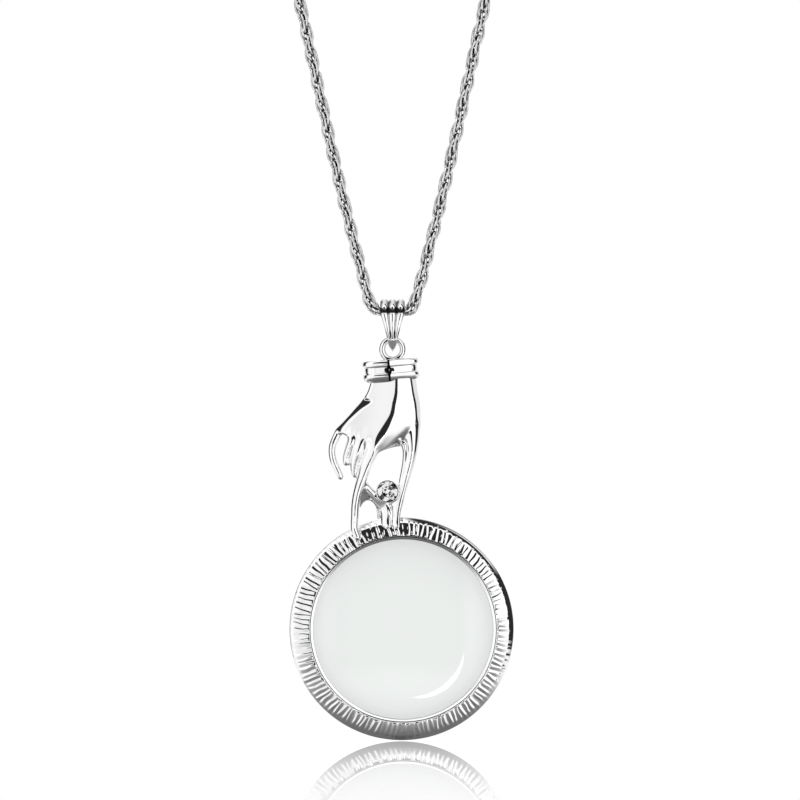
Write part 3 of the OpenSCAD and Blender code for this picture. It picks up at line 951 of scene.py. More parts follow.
@dataclass
class FieldGrid:
    """Grid of points on which bodies are worked out as fields, positive inside."""

    low: tuple[float, float, float]
    high: tuple[float, float, float]
    step: float
    farthest: float = 1.5
    flattest: float = 1e-3

    def __post_init__(self) -> None:
        """Lays out the grid."""
        self.axes = [np.arange(a, b, self.step) for a, b in zip(self.low, self.high)]
        self.x, self.y, self.z = np.meshgrid(*self.axes, indexing="ij", sparse=True)
        self.plane = np.stack(np.meshgrid(self.axes[0], self.axes[2], indexing="ij"), axis=-1)

    def evened(self, value: np.ndarray) -> np.ndarray:
        """Field scaled to lengths near its surface.

        Args:
            value: The field.

        Returns:
            The scaled field, cut off far from its surface.
        """
        slopes = np.gradient(value.astype(np.float32), self.step)
        size = np.sqrt(sum(s * s for s in slopes))
        return np.clip(value / np.maximum(size, self.flattest), -self.farthest, self.farthest)

    def limb(self, path: np.ndarray) -> np.ndarray:
        """Field of a finger or arm with rounded ends.

        Args:
            path: Closely spaced rows: across, up, depth, half width, front, back, crease, crown.

        Returns:
            The field.
        """
        flat = self.plane.reshape(-1, 2)
        best = np.full(len(flat), np.inf)
        sideways = np.zeros(len(flat))
        rows = np.zeros((len(flat), path.shape[1]))
        for first, second in zip(path[:-1], path[1:]):
            run = second[:2] - first[:2]
            t = np.clip((flat - first[:2]) @ run / (run @ run), 0, 1)
            off = flat - first[:2] - t[:, None] * run
            far = np.hypot(off[:, 0], off[:, 1])
            near = far < best
            best[near] = far[near]
            side = np.sign(off @ np.array([-run[1], run[0]]))
            sideways[near] = (far * side)[near]
            rows[near] = (first + t[:, None] * (second - first))[near]
        shape = (len(self.axes[0]), 1, len(self.axes[2]))
        deep, half, front, back, ridge, crown = (rows[:, k].reshape(shape) for k in range(2, 8))
        share = sideways.reshape(shape) / half
        creased = np.abs(share - ridge) / np.where(share > ridge, 1 - ridge, 1 + ridge)
        off = self.y - deep
        ahead = smooth_step(0.0, 0.5, -off / front)
        across = np.abs(share) ** 2 + ahead * (creased**crown - np.abs(share) ** 2)
        body = self.evened(1 - across - (off / np.where(off < 0, front, back)) ** 2)
        return np.minimum(body, half * (1 - np.abs(share)))

    def palm(self, table: Table, deep: float, edges: PalmEdges) -> np.ndarray:
        """Field of the palm, with a crease down its front and a steep left side.

        Args:
            table: Its rows.
            deep: Depth of its widest level.
            edges: How its front falls.

        Returns:
            The field.
        """
        rows = np.array(table, float)
        at = np.stack([np.interp(-self.axes[2], -rows[:, 0], rows[:, k]) for k in range(1, 10)])
        for _ in range(edges.evenings):
            at[:, 1:-1] = (2 * at[:, 1:-1] + at[:, :-2] + at[:, 2:]) / 4
        left, crease, right, front, back, soft, steep, shoulder, drop = at[:, None, None, :]
        at_left, away = self.x < crease, np.abs(self.x - crease)
        past = away - np.where(at_left, crease - left, right - crease)
        line = front - np.where(at_left, drop, edges.right_drop) * rounded(away, soft) - edges.arch * away**2
        strip = edges.left_fall * rounded(np.maximum(past + steep, 0), edges.left_soft)
        left_line = np.maximum(line - strip, edges.left_least - deep)
        late = np.maximum(past / shoulder + 1, 0)
        first, second = edges.right_falls
        right_edge = 1 - first * np.minimum(late, edges.right_bend) - second * np.maximum(late - edges.right_bend, 0)
        full = front + deep
        tall = (np.where(at_left, left_line, np.maximum(line, edges.right_least) * right_edge) + deep) / full
        off = self.y - deep
        centred = (self.x - (left + right) / 2) / ((right - left) / 2)
        behind = 1 - centred**2 - (off / np.maximum(back - deep, edges.back_least)) ** 2
        field = np.where(off < 0, tall * np.abs(tall) - (off / full) ** 2, behind)
        ends = np.minimum(rows[0, 0] - self.z, self.z - rows[-1, 0])
        return np.minimum(np.minimum(self.evened(field), ends), np.minimum(self.x - left, right - self.x))

    def level(self, path: np.ndarray) -> np.ndarray:
        """Field of a body whose ovals all lie level, with flat ends.

        Args:
            path: Closely spaced rows, as for a limb.

        Returns:
            The field.
        """
        at = np.stack([np.interp(-self.axes[2], -path[:, 1], path[:, k]) for k in (0, 2, 3, 4)])
        across, deep, half, front = at[:, None, None, :]
        share = (self.x - across) / half
        body = self.evened(1 - share**2 - ((self.y - deep) / front) ** 2)
        ends = np.minimum(path[0, 1] - self.z, self.z - path[-1, 1])
        return np.minimum(np.minimum(body, ends), half * (1 - np.abs(share)))

    def softened(self, value: np.ndarray, times: int) -> np.ndarray:
        """Field without its finest steps.

        Args:
            value: Field on the whole grid.
            times: How often neighbours are averaged.

        Returns:
            The softened field.
        """
        for axis in [0, 1, 2] * times:
            value = (2 * value + np.roll(value, 1, axis) + np.roll(value, -1, axis)) / 4
        return value

    def slab(self, place: tuple[float, float, float], out: tuple[float, float, float]) -> np.ndarray:
        """Field of everything behind a plane.

        Args:
            place: Point of the plane.
            out: Direction away from what stays.

        Returns:
            The field.
        """
        a, b, c = np.array(out) / np.linalg.norm(out)
        return -((self.x - place[0]) * a + (self.y - place[1]) * b + (self.z - place[2]) * c)

    def skin(self, value: np.ndarray) -> Skin:
        """Surface where a field is zero.

        Args:
            value: Field on the whole grid.

        Returns:
            The surface, with four-sided faces.
        """
        inside = value > 0
        corners = np.array([(i, j, k) for i in (0, 1) for j in (0, 1) for k in (0, 1)])
        count = sum(
            inside[i : i - 1 or None, j : j - 1 or None, k : k - 1 or None].astype(np.int8) for i, j, k in corners
        )
        cells = np.argwhere((count > 0) & (count < 8))
        number = np.full(count.shape, -1)
        number[tuple(cells.T)] = np.arange(len(cells))
        values = np.stack([value[tuple((cells + c).T)] for c in corners])
        total, hits = np.zeros((len(cells), 3)), np.zeros(len(cells))
        edges = [(a, b) for a in range(8) for b in range(a + 1, 8) if np.abs(corners[a] - corners[b]).sum() == 1]
        for a, b in edges:
            crossed = (values[a] > 0) != (values[b] > 0)
            t = np.where(crossed, values[a] / np.where(crossed, values[a] - values[b], 1), 0)[:, None]
            total += crossed[:, None] * (corners[a] + t * (corners[b] - corners[a]))
            hits += crossed
        points = np.array(self.low) + (cells + total / hits[:, None]) * self.step
        faces, shift = [], np.eye(3, dtype=int)
        for axis in range(3):
            one, two = (axis + 1) % 3, (axis + 2) % 3
            ahead = np.roll(inside, -1, axis)
            changed = np.argwhere(inside != ahead)
            changed = changed[(changed > 0).all(axis=1) & (changed < np.array(inside.shape) - 1).all(axis=1)]
            around = [changed - shift[one] - shift[two], changed - shift[two], changed, changed - shift[one]]
            quads = np.stack([number[tuple(cell.T)] for cell in around], axis=1)
            outward = inside[tuple(changed.T)]
            faces.append(np.where(outward[:, None], quads, quads[:, ::-1]))
        return Skin(points, [np.concatenate(faces)])


@dataclass
class GatheredCuff:
    """Band with two rolled edges and a hollow between them, gathered in front by a pleat."""

    width: float = 11.0
    depth: float = 6.8
    height: float = 4.4
    x: float = -0.35
    top: float = -13.65
    tilt: float = math.radians(4.5)
    skew: float = 0.063
    corners: int = 560
    crowding: float = 0.82
    squareness: tuple[float, float, float] = (2.8, 1.4, 0.8)
    tuck: tuple[float, float, float] = (0.14, 0.28, 1.5)
    gable: tuple[float, float] = (0.16, 4.6)
    pleat_x: float = -0.31
    pleat_at: float = -math.pi / 2 - 0.1
    pleat_deep: float = 1.62
    pleat_wide: tuple[float, float] = (0.033, 0.08)
    star_up: tuple[float, float] = (0.54, 0.12)
    # Painted shade: a ragged dark star around the pleat, lighter in its heart.
    star: tuple[float, float, float] = (0.3, 0.75, 0.3)
    star_soft: float = 0.14
    star_heart: tuple[float, float] = (0.8, 0.2)

    def skin(self) -> tuple[Skin, np.ndarray]:
        """Surface of the cuff.

        Returns:
            The surface, and the share of painted shade at each point, around the pleat.
        """
        line = smooth_rows(np.array(CUFF_LINE, float), 4)
        across, up = line[:, :1], line[:, 1:]
        a = circle(self.corners)[None, :]
        a = a - self.crowding * np.sin(a - self.pleat_at)
        turn = (a - self.pleat_at + math.pi) % TAU - math.pi
        middle = np.exp(-(((up - self.star_up[0]) / self.star_up[1]) ** 2))
        wide = self.pleat_wide[0] + self.pleat_wide[1] * middle
        r = self.width / 2 * across * (1 - self.pleat_deep * np.clip(wide - np.abs(turn), 0, None))
        most, reach, power = self.tuck
        tucked = 1 - most * np.clip(1 - up / reach, 0, 1) ** power
        c, s = np.cos(a), np.sin(a)
        least, more, full = self.squareness
        square = least + more * smooth_step(0.0, full, np.abs(c))
        r = r * (np.abs(c) ** square + np.abs(s) ** square) ** (-1 / square)
        x, y = r * c, r * s * tucked * self.depth / self.width
        x, y = x - self.skew * y, y + self.skew * x
        gap = np.abs(x - self.pleat_x)
        y = y + self.gable[0] * np.minimum(gap, self.gable[1]) * np.clip(-y, 0, 1)
        narrow, broad, ragged = self.star
        star = narrow + (broad + ragged * np.sin(8 * x + 6 * up)) * middle
        heart = 1 - self.star_heart[0] * middle**3 * np.exp(-((gap / self.star_heart[1]) ** 2))
        # Painted shade around the pleat, only on the front.
        shut = np.clip((star - gap) / self.star_soft, 0, 1) * (y < 0) * heart
        z = self.height * (up - 0.5) + 0 * a
        c, s = math.cos(self.tilt), math.sin(self.tilt)
        rings = np.stack([self.x + c * x - s * z, y, self.top + self.height / 2 + s * x + c * z], axis=-1)
        made = Skin.over_rings(rings)
        return made, np.concatenate([shut.ravel(), np.zeros(len(made.points) - shut.size)])


@dataclass(frozen=True)
class Fillets:
    """Sizes of the fillets where the hand's limbs meet."""

    palm_under: float = 0.25
    fingers: float = 0.4
    index: float = 0.25
    knuckles: float = 0.45
    thumb_fork: float = 0.22
    thumb: float = 0.8
    web: float = 0.3
    arm: float = 0.2
    cup: float = 0.15


@dataclass
class HandCasting:
    """Eye, cuff, hand, forked handle and stone's cup, cast in one."""

    hand_w: float = 17.6
    hand_len: float = 26.7
    hand_t: float = 6.0
    hand_top: float = -13.65
    low: tuple[float, float, float] = (-14.0, -3.8, -45.2)
    high: tuple[float, float, float] = (6.4, 3.2, -12.4)
    palm_deep: float = 0.7
    palm_under: Table = ((1.08, -2.25, -24.2), (0.56, -0.63, -0.54))
    web_front: Table = ((-4.6, -1.6, -33.6), (0.0, -0.97, -0.24))
    arch: tuple[float, float, float, float] = (-4.75, -40.3, 1.7, 3.25)
    slit: Table = ((-0.45, -1.62, -39.8), (0.2, 1.4, 0.23))
    slit_z: float = -39.6
    eye_r: float = 2.0
    eye_wire: float = 1.2
    eye_sides: tuple[int, int] = (96, 32)
    eye_z: float = -7.4
    stone_x: float = -0.968
    stone_z: float = -35.277
    cup_r: float = 2.3
    cup_deep: float = 1.5
    cup_hole_r: float = 2.08
    girdle_y: float = -0.54
    stone_depth: float = 1.6
    play: float = 0.08
    limb_steps: int = 6
    voxel: float = 0.114
    softenings: int = 6
    smoothings: int = 8
    darkening: float = 0.6
    fillets: Fillets = Fillets()
    palm_edges: PalmEdges = PalmEdges()
    cuff: GatheredCuff = field(default_factory=GatheredCuff)

    def path(self, table: Table, end: np.ndarray | None = None) -> np.ndarray:
        """Closely spaced rows of a limb, in millimetres.

        Args:
            table: Its rows as shares.
            end: More rows at its end, in millimetres.

        Returns:
            The rows.
        """
        rows = np.array(table, float) * [
            self.hand_w, -self.hand_len, self.hand_t, self.hand_w, self.hand_t, self.hand_t, 1, 1,
        ]
        rows[:, 1] += self.hand_top
        return smooth_rows(rows if end is None else np.concatenate([rows, end]), self.limb_steps)

    def index_end(self, rim: "BarkRim") -> np.ndarray:
        """Last rows of the index finger, which lie on the face of the rim.

        Args:
            rim: The rim.

        Returns:
            The rows, as in the fingers' own tables.
        """
        deep = -(rim.half_t + rim.crown + rim.tip_half - rim.tip_sink)
        rows = []
        for out in (0.9, 0.0):
            r = rim.tip_r + out
            across = rim.shift - r * math.sin(rim.tip_angle) - 0.2 * out
            up = rim.centre_z + r * math.cos(rim.tip_angle) + out
            rows.append([across, up, deep, rim.tip_half, rim.tip_half, rim.tip_half, 0, 2])
        return np.array(rows)

    def hand(self, rim: "BarkRim") -> Skin:
        """Hand, forked handle and cup as one surface.

        Args:
            rim: Rim that the index finger touches.

        Returns:
            The surface.
        """
        grid, soft = FieldGrid(self.low, self.high, self.voxel), self.fillets
        palm = grid.palm(PALM_BACK, self.palm_deep, self.palm_edges)
        palm = -softly_joined(-palm, -grid.slab(*self.palm_under), soft.palm_under)
        fingers = grid.limb(self.path(LITTLE))
        for table in (RING, MIDDLE):
            fingers = softly_joined(fingers, grid.limb(self.path(table)), soft.fingers)
        index = grid.limb(self.path(INDEX, self.index_end(rim)))
        fingers = softly_joined(fingers, index, soft.index)
        hand = softly_joined(palm, fingers, soft.knuckles)
        thumb = softly_joined(grid.limb(self.path(THUMB)), grid.limb(self.path(THUMB_SIDE)), soft.thumb_fork)
        hand = softly_joined(hand, thumb, soft.thumb)
        hand = softly_joined(hand, self.arm(grid), soft.arm)
        hand = grid.softened(hand, self.softenings)
        away = np.hypot(grid.x - self.stone_x, grid.z - self.stone_z)
        cup = np.minimum(self.cup_r - away, self.cup_deep - np.abs(grid.y))
        hand = softly_joined(hand, cup, soft.cup)
        return grid.skin(np.minimum(hand, -np.maximum(self.seat(grid, away), self.split(grid))))

    def arm(self, grid: FieldGrid) -> np.ndarray:
        """Field of the arm from the index finger to the handle, with the web in its arch.

        Args:
            grid: Grid of the hand.

        Returns:
            The field.
        """
        x, z, half_w, half_h = self.arch
        arch = half_w * (1 - np.hypot((grid.x - x) / half_w, (grid.z - z) / half_h))
        web = np.minimum(grid.level(self.path(WEB)), grid.slab(*self.web_front))
        return softly_joined(grid.limb(self.path(ARM)), np.minimum(web, -arch), self.fillets.web)

    def seat(self, grid: FieldGrid, away: np.ndarray) -> np.ndarray:
        """Field of the hole that holds the stone.

        Args:
            grid: Grid of the hand.
            away: Distance from the stone's axis.

        Returns:
            The field.
        """
        slope = self.cup_hole_r / self.stone_depth
        cone = self.cup_hole_r - away - (grid.y - self.girdle_y - self.play) * slope
        hole = np.minimum(self.cup_hole_r - away, cone)
        return np.minimum(hole, self.girdle_y + self.stone_depth + self.play - grid.y)

    def split(self, grid: FieldGrid) -> np.ndarray:
        """Field of the slit between the two prongs of the handle.

        Args:
            grid: Grid of the hand.

        Returns:
            The field.
        """
        (x, y, z), (r, half_length, lean) = self.slit
        away = np.hypot(grid.x - x + (grid.z - z) * lean, grid.y - y)
        return np.minimum(r - away, half_length - np.abs(grid.z - self.slit_z))

    def eye(self) -> Skin:
        """Ring of round wire above the cuff.

        Returns:
            Its surface.
        """
        a, b = (circle(sides) for sides in self.eye_sides)
        a, b = a[:, None], b[None, :]
        r = self.eye_r + self.eye_wire / 2 * np.cos(b)
        deep = self.eye_wire / 2 * np.sin(b) + 0 * a
        return Skin.over_rings(np.stack([r * np.cos(a), deep, self.eye_z + r * np.sin(a)], axis=-1), closed=True)

    def build(self, plate: bpy.types.Material, shade_painted: bpy.types.Material, rim: "BarkRim") -> list[bpy.types.Object]:
        """Builds and dresses the casting without its rim.

        Args:
            plate: Its finish.
            shade_painted: The same finish, with painted shade in its recesses.
            rim: Rim that the index finger touches.

        Returns:
            The hand, and the cuff with the eye.
        """
        hand = self.hand(rim).mesh("hand_casting")
        soften = hand.modifiers.new("soften", "SMOOTH")
        soften.factor, soften.iterations = 0.5, self.smoothings
        eye, (band, shut) = self.eye(), self.cuff.skin()
        cuff = Skin.joined([eye, band]).mesh("cuff_and_eye")
        # Painted shade on the cuff around its pleat; the eye stays bright.
        openness(cuff, 1 - self.darkening * np.concatenate([np.zeros(len(eye.points)), shut]))
        return [
            dressed(piece, "hand_frame", "hand_frame", Body.PENDANT, finish)
            for piece, finish in ((baked(hand), plate), (cuff, shade_painted))
        ]


@dataclass
class BarkRim:
    """Round rim with a lip, a groove for the lens and bark-like rays on its front."""

    shift: float = 1.8
    centre_z: float = -62.35
    radius: float = 22.0
    opening_r: float = 18.1
    band_in: float = 18.4
    lip_in: float = 17.7
    lip_off: float = 0.3
    half_t: float = 1.6
    crown: float = 0.25
    groove_h: float = 0.73
    seat_r: float = 18.58
    tip_angle: float = math.radians(25.5)
    tip_r: float = 20.15
    tip_half: float = 0.75
    tip_sink: float = 0.5
    around: int = 1440
    band_rings: int = 42
    dome_top: float = 1.82
    slopes: Table = ((18.4, 8), (20.9, 18), (21.02, 33), (22.0, 44))
    bevel_late: Table = ((-150, 0), (-118, 1), (-50, 1), (-22, 0.1), (5, 0))
    latest: float = 0.55
    lip_r: float = 0.08
    lip_w: float = 0.55
    lip_top: float = 1.64
    lip_fall: float = 0.207
    lip_in_rise: tuple[float, float] = (0.05, 0.17)
    lip_flat: tuple[float, float] = (0.08, 0.92)
    ditch: Table = ((0.03, 0.25), (-0.08, 0.3))
    aside_over: float = 3.6
    edge_rows: Table = ((0.0, 0.35), (0.0, -0.8), (0.3, -1.25))
    edge_bevel: float = 0.8
    mouth_bevel: float = 0.2
    rays: int = 128
    ray_high: float = 0.16
    ray_wide: tuple[float, float] = (0.42, 0.62)
    tilts: float = 0.012
    tilt_from: float = 20.0
    tilt_over: float = 1.3
    waves: float = 0.004
    wave_rate: float = 2.6
    break_rate: float = 4.2
    uneven: float = 0.2
    starts_loose: tuple[float, float] = (-0.1, 0.35)
    ends_loose: tuple[float, float] = (-0.25, 0.3)
    start_fade: float = 0.12
    lean: float = 0.22
    top_at: float = -8.0
    top_wide: float = 62.0
    top_narrowing: tuple[float, float] = (0.15, 0.5)
    broken: float = 0.2
    fades: tuple[float, float] = (0.2, 0.9)
    sharp_from: float = -130.0
    sharp_to: float = 85.0
    heights: Table = (
        (-180, 0.5), (-150, 0.7), (-110, 0.75), (-90, 0.5), (-75, 0.6), (-60, 0.9), (-30, 1), (0, 0.9),
        (50, 1), (70, 1.1), (110, 1), (150, 0.8), (180, 0.5),
    )
    ends: Table = (
        (-180, 21.0), (-150, 21.2), (-130, 21.6), (-100, 21.8), (-45, 21.8), (-12, 21.6), (5, 21.2),
        (35, 20.95), (60, 20.9), (95, 21.1), (110, 21.4), (150, 21.2), (180, 21.0),
    )
    seed: int = 11

    def face(self, r: np.ndarray, late: float) -> np.ndarray:
        """Height of the plain face under the bark.

        Args:
            r: Radii.
            late: How much further out the bevel begins.

        Returns:
            Heights from the rim's middle plane.
        """
        fine = np.linspace(self.band_in, self.radius, 400)
        places, angles = np.array(self.slopes).T
        slope = np.tan(np.radians(np.interp(fine, places + [0, late, late, 0], angles)))
        fall = np.concatenate([[0], np.cumsum((slope[1:] + slope[:-1]) / 2 * np.diff(fine))])
        return self.dome_top - np.interp(r, fine, fall)

    def bark(self, turn: np.ndarray, r: np.ndarray) -> np.ndarray:
        """Height of the rays above the plain face.

        Args:
            turn: Angles from the top, clockwise from the front.
            r: Radii of the band.

        Returns:
            Heights, a row for each angle.
        """
        dice, high = np.random.default_rng(self.seed), np.zeros((len(turn), len(r)))
        step = TAU / self.rays
        out = (r - self.band_in) / (self.radius - self.band_in)
        for k in range(self.rays):
            at = step * (k + dice.uniform(-self.uneven, self.uneven))
            tilt = dice.uniform(-self.tilts, self.tilts)
            side = math.degrees((at + math.pi) % TAU - math.pi)
            near_top = max(0.0, 1 - abs(side - self.top_at) / self.top_wide)
            narrow = near_top * (self.top_narrowing[0] + self.top_narrowing[1] * out)
            half = step * dice.uniform(*self.ray_wide) * (1 - narrow)
            tall = self.ray_high * dice.uniform(0.5, 1.0) * at_table(side, self.heights)
            inner = self.band_in + dice.uniform(*self.starts_loose)
            outer = at_table(side, self.ends) + dice.uniform(*self.ends_loose)
            fade = self.fades[0] if self.sharp_from < side < self.sharp_to else self.fades[1]
            bend, wave = dice.uniform(0, TAU), dice.uniform(0.0, self.waves)
            centre = at + tilt * (r - self.tilt_from) / self.tilt_over + wave * np.sin(self.wave_rate * r + bend)
            gap = (turn[:, None] - centre[None, :] + math.pi) % TAU - math.pi
            lean = 0.5 + self.lean * math.sin(math.radians(side))
            flank = np.clip(1 - np.abs(gap) / (half * 2 * np.where(gap > 0, lean, 1 - lean)), 0, 1)
            starts = smooth_step(inner - self.start_fade, inner + self.start_fade, r)
            ends = starts * (1 - smooth_step(outer - fade, outer + fade, r))
            broken = 1 - self.broken * near_top * (1 + np.sin(self.break_rate * r + 3 * bend))
            high = np.maximum(high, tall * flank * (ends * broken)[None, :])
        return high

    def lip(self) -> list[tuple[float, float]]:
        """Radius and height along the lens's groove, the lip and the ditch behind it.

        Returns:
            The section up to the band.
        """
        quarter = np.radians(np.linspace(0, 90, 5))
        r, top, outer = self.lip_r, self.lip_top, self.lip_in + self.lip_w
        made = [
            (self.seat_r, -self.groove_h), (self.seat_r, self.groove_h),
            (self.opening_r, self.groove_h + self.lip_in_rise[0]), (self.lip_in, self.groove_h + self.lip_in_rise[1]),
        ]
        made += [(self.lip_in + r * (1 - math.cos(a)), top - self.lip_fall - r * (1 - math.sin(a))) for a in quarter]
        made += [
            (self.lip_in + r + share * (self.lip_w - 2 * r), top - self.lip_fall * (1 - share))
            for share in self.lip_flat
        ]
        made += [(outer - r * (1 - math.sin(a)), top - r * (1 - math.cos(a))) for a in quarter]
        return made + [(at + out, top - down) for at, (out, down) in zip((outer, self.band_in), self.ditch)]

    def back(self) -> list[tuple[float, float]]:
        """Radius and height along the edge and the plain back.

        Returns:
            The section after the band.
        """
        made = [(self.radius - inward, height) for inward, height in self.edge_rows]
        return made + [
            (self.radius - self.edge_bevel, -self.half_t), (self.opening_r + self.mouth_bevel, -self.half_t),
            (self.opening_r, -self.half_t + self.mouth_bevel), (self.opening_r, -self.groove_h),
        ]

    def build(self, plate: bpy.types.Material) -> list[bpy.types.Object]:
        """Builds and dresses the rim.

        Args:
            plate: Its finish.

        Returns:
            The rim.
        """
        turn = circle(self.around)
        band = np.linspace(self.band_in, self.radius, self.band_rings)
        late = at_table(np.degrees((turn + math.pi) % TAU - math.pi), self.bevel_late)[:, None]
        front = (1 - late) * self.face(band, 0.0) + late * self.face(band, self.latest) + self.bark(turn, band)
        start, back, ones = np.array(self.lip()), np.array(self.back()), np.ones((self.around, 1))
        r = np.concatenate([ones * start[:, 0], ones * band, ones * back[:, 0]], axis=1)
        h = np.concatenate([ones * start[:, 1], front, ones * back[:, 1]], axis=1)
        aside = np.where(h > self.groove_h + 0.01, np.clip((self.radius - r) / self.aside_over, 0, 1), 0.0)
        x = self.shift + self.lip_off * aside + r * np.sin(turn)[:, None]
        z = self.centre_z + r * np.cos(turn)[:, None]
        made = Skin.over_rings(np.stack([x, -h, z], axis=-1), closed=True).mesh("bark_rim")
        return [dressed(made, "hand_frame", "hand_frame", Body.PENDANT, plate)]


# ---------------------------------------------------------------- glass


@dataclass
class BrilliantStone:
    """Small round stone with a table, star, kite and girdle facets over a pointed back."""

    x: float = -0.968
    z: float = -35.277
    girdle_y: float = -0.54
    radius: float = 2.0
    crown: float = 0.64
    girdle: float = 0.32
    depth: float = 1.44
    turn: float = 0.2
    table_r: float = 0.56
    kite_r: float = 0.79
    kite_up: float = 0.6
    back_levels: Table = ((8, 0.62, 0.5, 0.25, 0.12), (4, 0.24, 0.92, 0.0, 0.06))
    back_margin: float = 0.02
    # Angles and half widths, in degrees, of back facets that get a painted dark reflection.
    shaded: Table = ((155, 20), (-148, 18), (35, 14), (-75, 10))

    def ring(
        self, count: int, share: float, up: float, start: float = 0.0, loose: float = 0.0
    ) -> list[tuple[float, float, float]]:
        """Corners of one level.

        Args:
            count: Number of corners.
            share: Their radius as a share of the stone's.
            up: Height over the girdle's lower edge, towards the front.
            start: Turn of the first corner, in steps.
            loose: How unevenly they are cut.

        Returns:
            The corners in the model's frame.
        """
        dice = np.random.default_rng(count + round(100 * share))
        made = []
        for k in range(count):
            a, r = TAU * (k + start) / count + self.turn, share * self.radius
            r, high = r * (1 + loose * dice.uniform(-1, 1)), up + loose * dice.uniform(-1, 1)
            place = np.array([self.x + r * math.cos(a), self.girdle_y - high, self.z + r * math.sin(a)])
            made.append(tuple((place - NAPE) * MM))
        return made

    def facet_kind(self, centre: Vector) -> int:
        """Which of the stone's finishes a facet has.

        Args:
            centre: Middle of the facet in the model's frame.

        Returns:
            0 in front, 1 on the back, 2 for the facets of the back with a painted dark reflection.
        """
        x, y, z = np.array(centre) / MM + NAPE - [self.x, self.girdle_y, self.z]
        if y <= self.back_margin:
            return 0
        at = math.degrees(math.atan2(z, x))
        return 2 if any(abs(at - dark) < wide for dark, wide in self.shaded) else 1

    def build(
        self, glass: bpy.types.Material, foil: bpy.types.Material, shade: bpy.types.Material
    ) -> list[bpy.types.Object]:
        """Builds and dresses the stone.

        Args:
            glass: Finish of its front.
            foil: Finish of its pointed back.
            shade: Painted dark reflection for some facets of the back.

        Returns:
            The stone.
        """
        corners = self.ring(8, self.table_r, self.girdle + self.crown)
        corners += self.ring(8, self.kite_r, self.girdle + self.kite_up * self.crown, 0.5)
        corners += self.ring(16, 1.0, self.girdle) + self.ring(16, 1.0, 0.0)
        for count, share, deep, start, loose in self.back_levels:
            corners += self.ring(count, share, -deep * self.depth, start, loose)
        shape = bmesh.new()
        for corner in corners:
            shape.verts.new(corner)
        bmesh.ops.convex_hull(shape, input=shape.verts)
        data = bpy.data.meshes.new("brilliant_stone")
        shape.to_mesh(data)
        shape.free()
        stone = bpy.data.objects.new("brilliant_stone", data)
        bpy.context.scene.collection.objects.link(stone)
        dressed(stone, "stone", "stone", Body.PENDANT, glass, foil, shade)
        for facet in data.polygons:
            facet.material_index = self.facet_kind(facet.center)
        return [stone]


@dataclass
class MagnifyingLens:
    """Round lens, convex on both sides."""

    x: float = 1.8
    z: float = -62.35
    radius: float = 18.5
    curve: float = 120.0
    edge: float = 1.2
    sides: int = 192

    def build(self, glass: bpy.types.Material) -> list[bpy.types.Object]:
        """Builds and dresses the lens.

        Args:
            glass: Its finish.

        Returns:
            The lens.
        """
        radii = np.linspace(0.02, 1, 20) * self.radius
        rise = self.edge / 2 + np.sqrt(self.curve**2 - radii**2) - math.sqrt(self.curve**2 - self.radius**2)
        r = np.concatenate([radii, radii[::-1]])[:, None]
        deep = np.concatenate([-rise, rise[::-1]])[:, None]
        a = circle(self.sides)[None, :]
        rings = np.stack([self.x + r * np.cos(a), deep + 0 * a, self.z + r * np.sin(a)], axis=-1)
        lens = Skin.over_rings(rings[::-1]).mesh("magnifying_lens")
        return [dressed(lens, "lens", "lens", Body.PENDANT, glass)]


# ---------------------------------------------------------------- studio


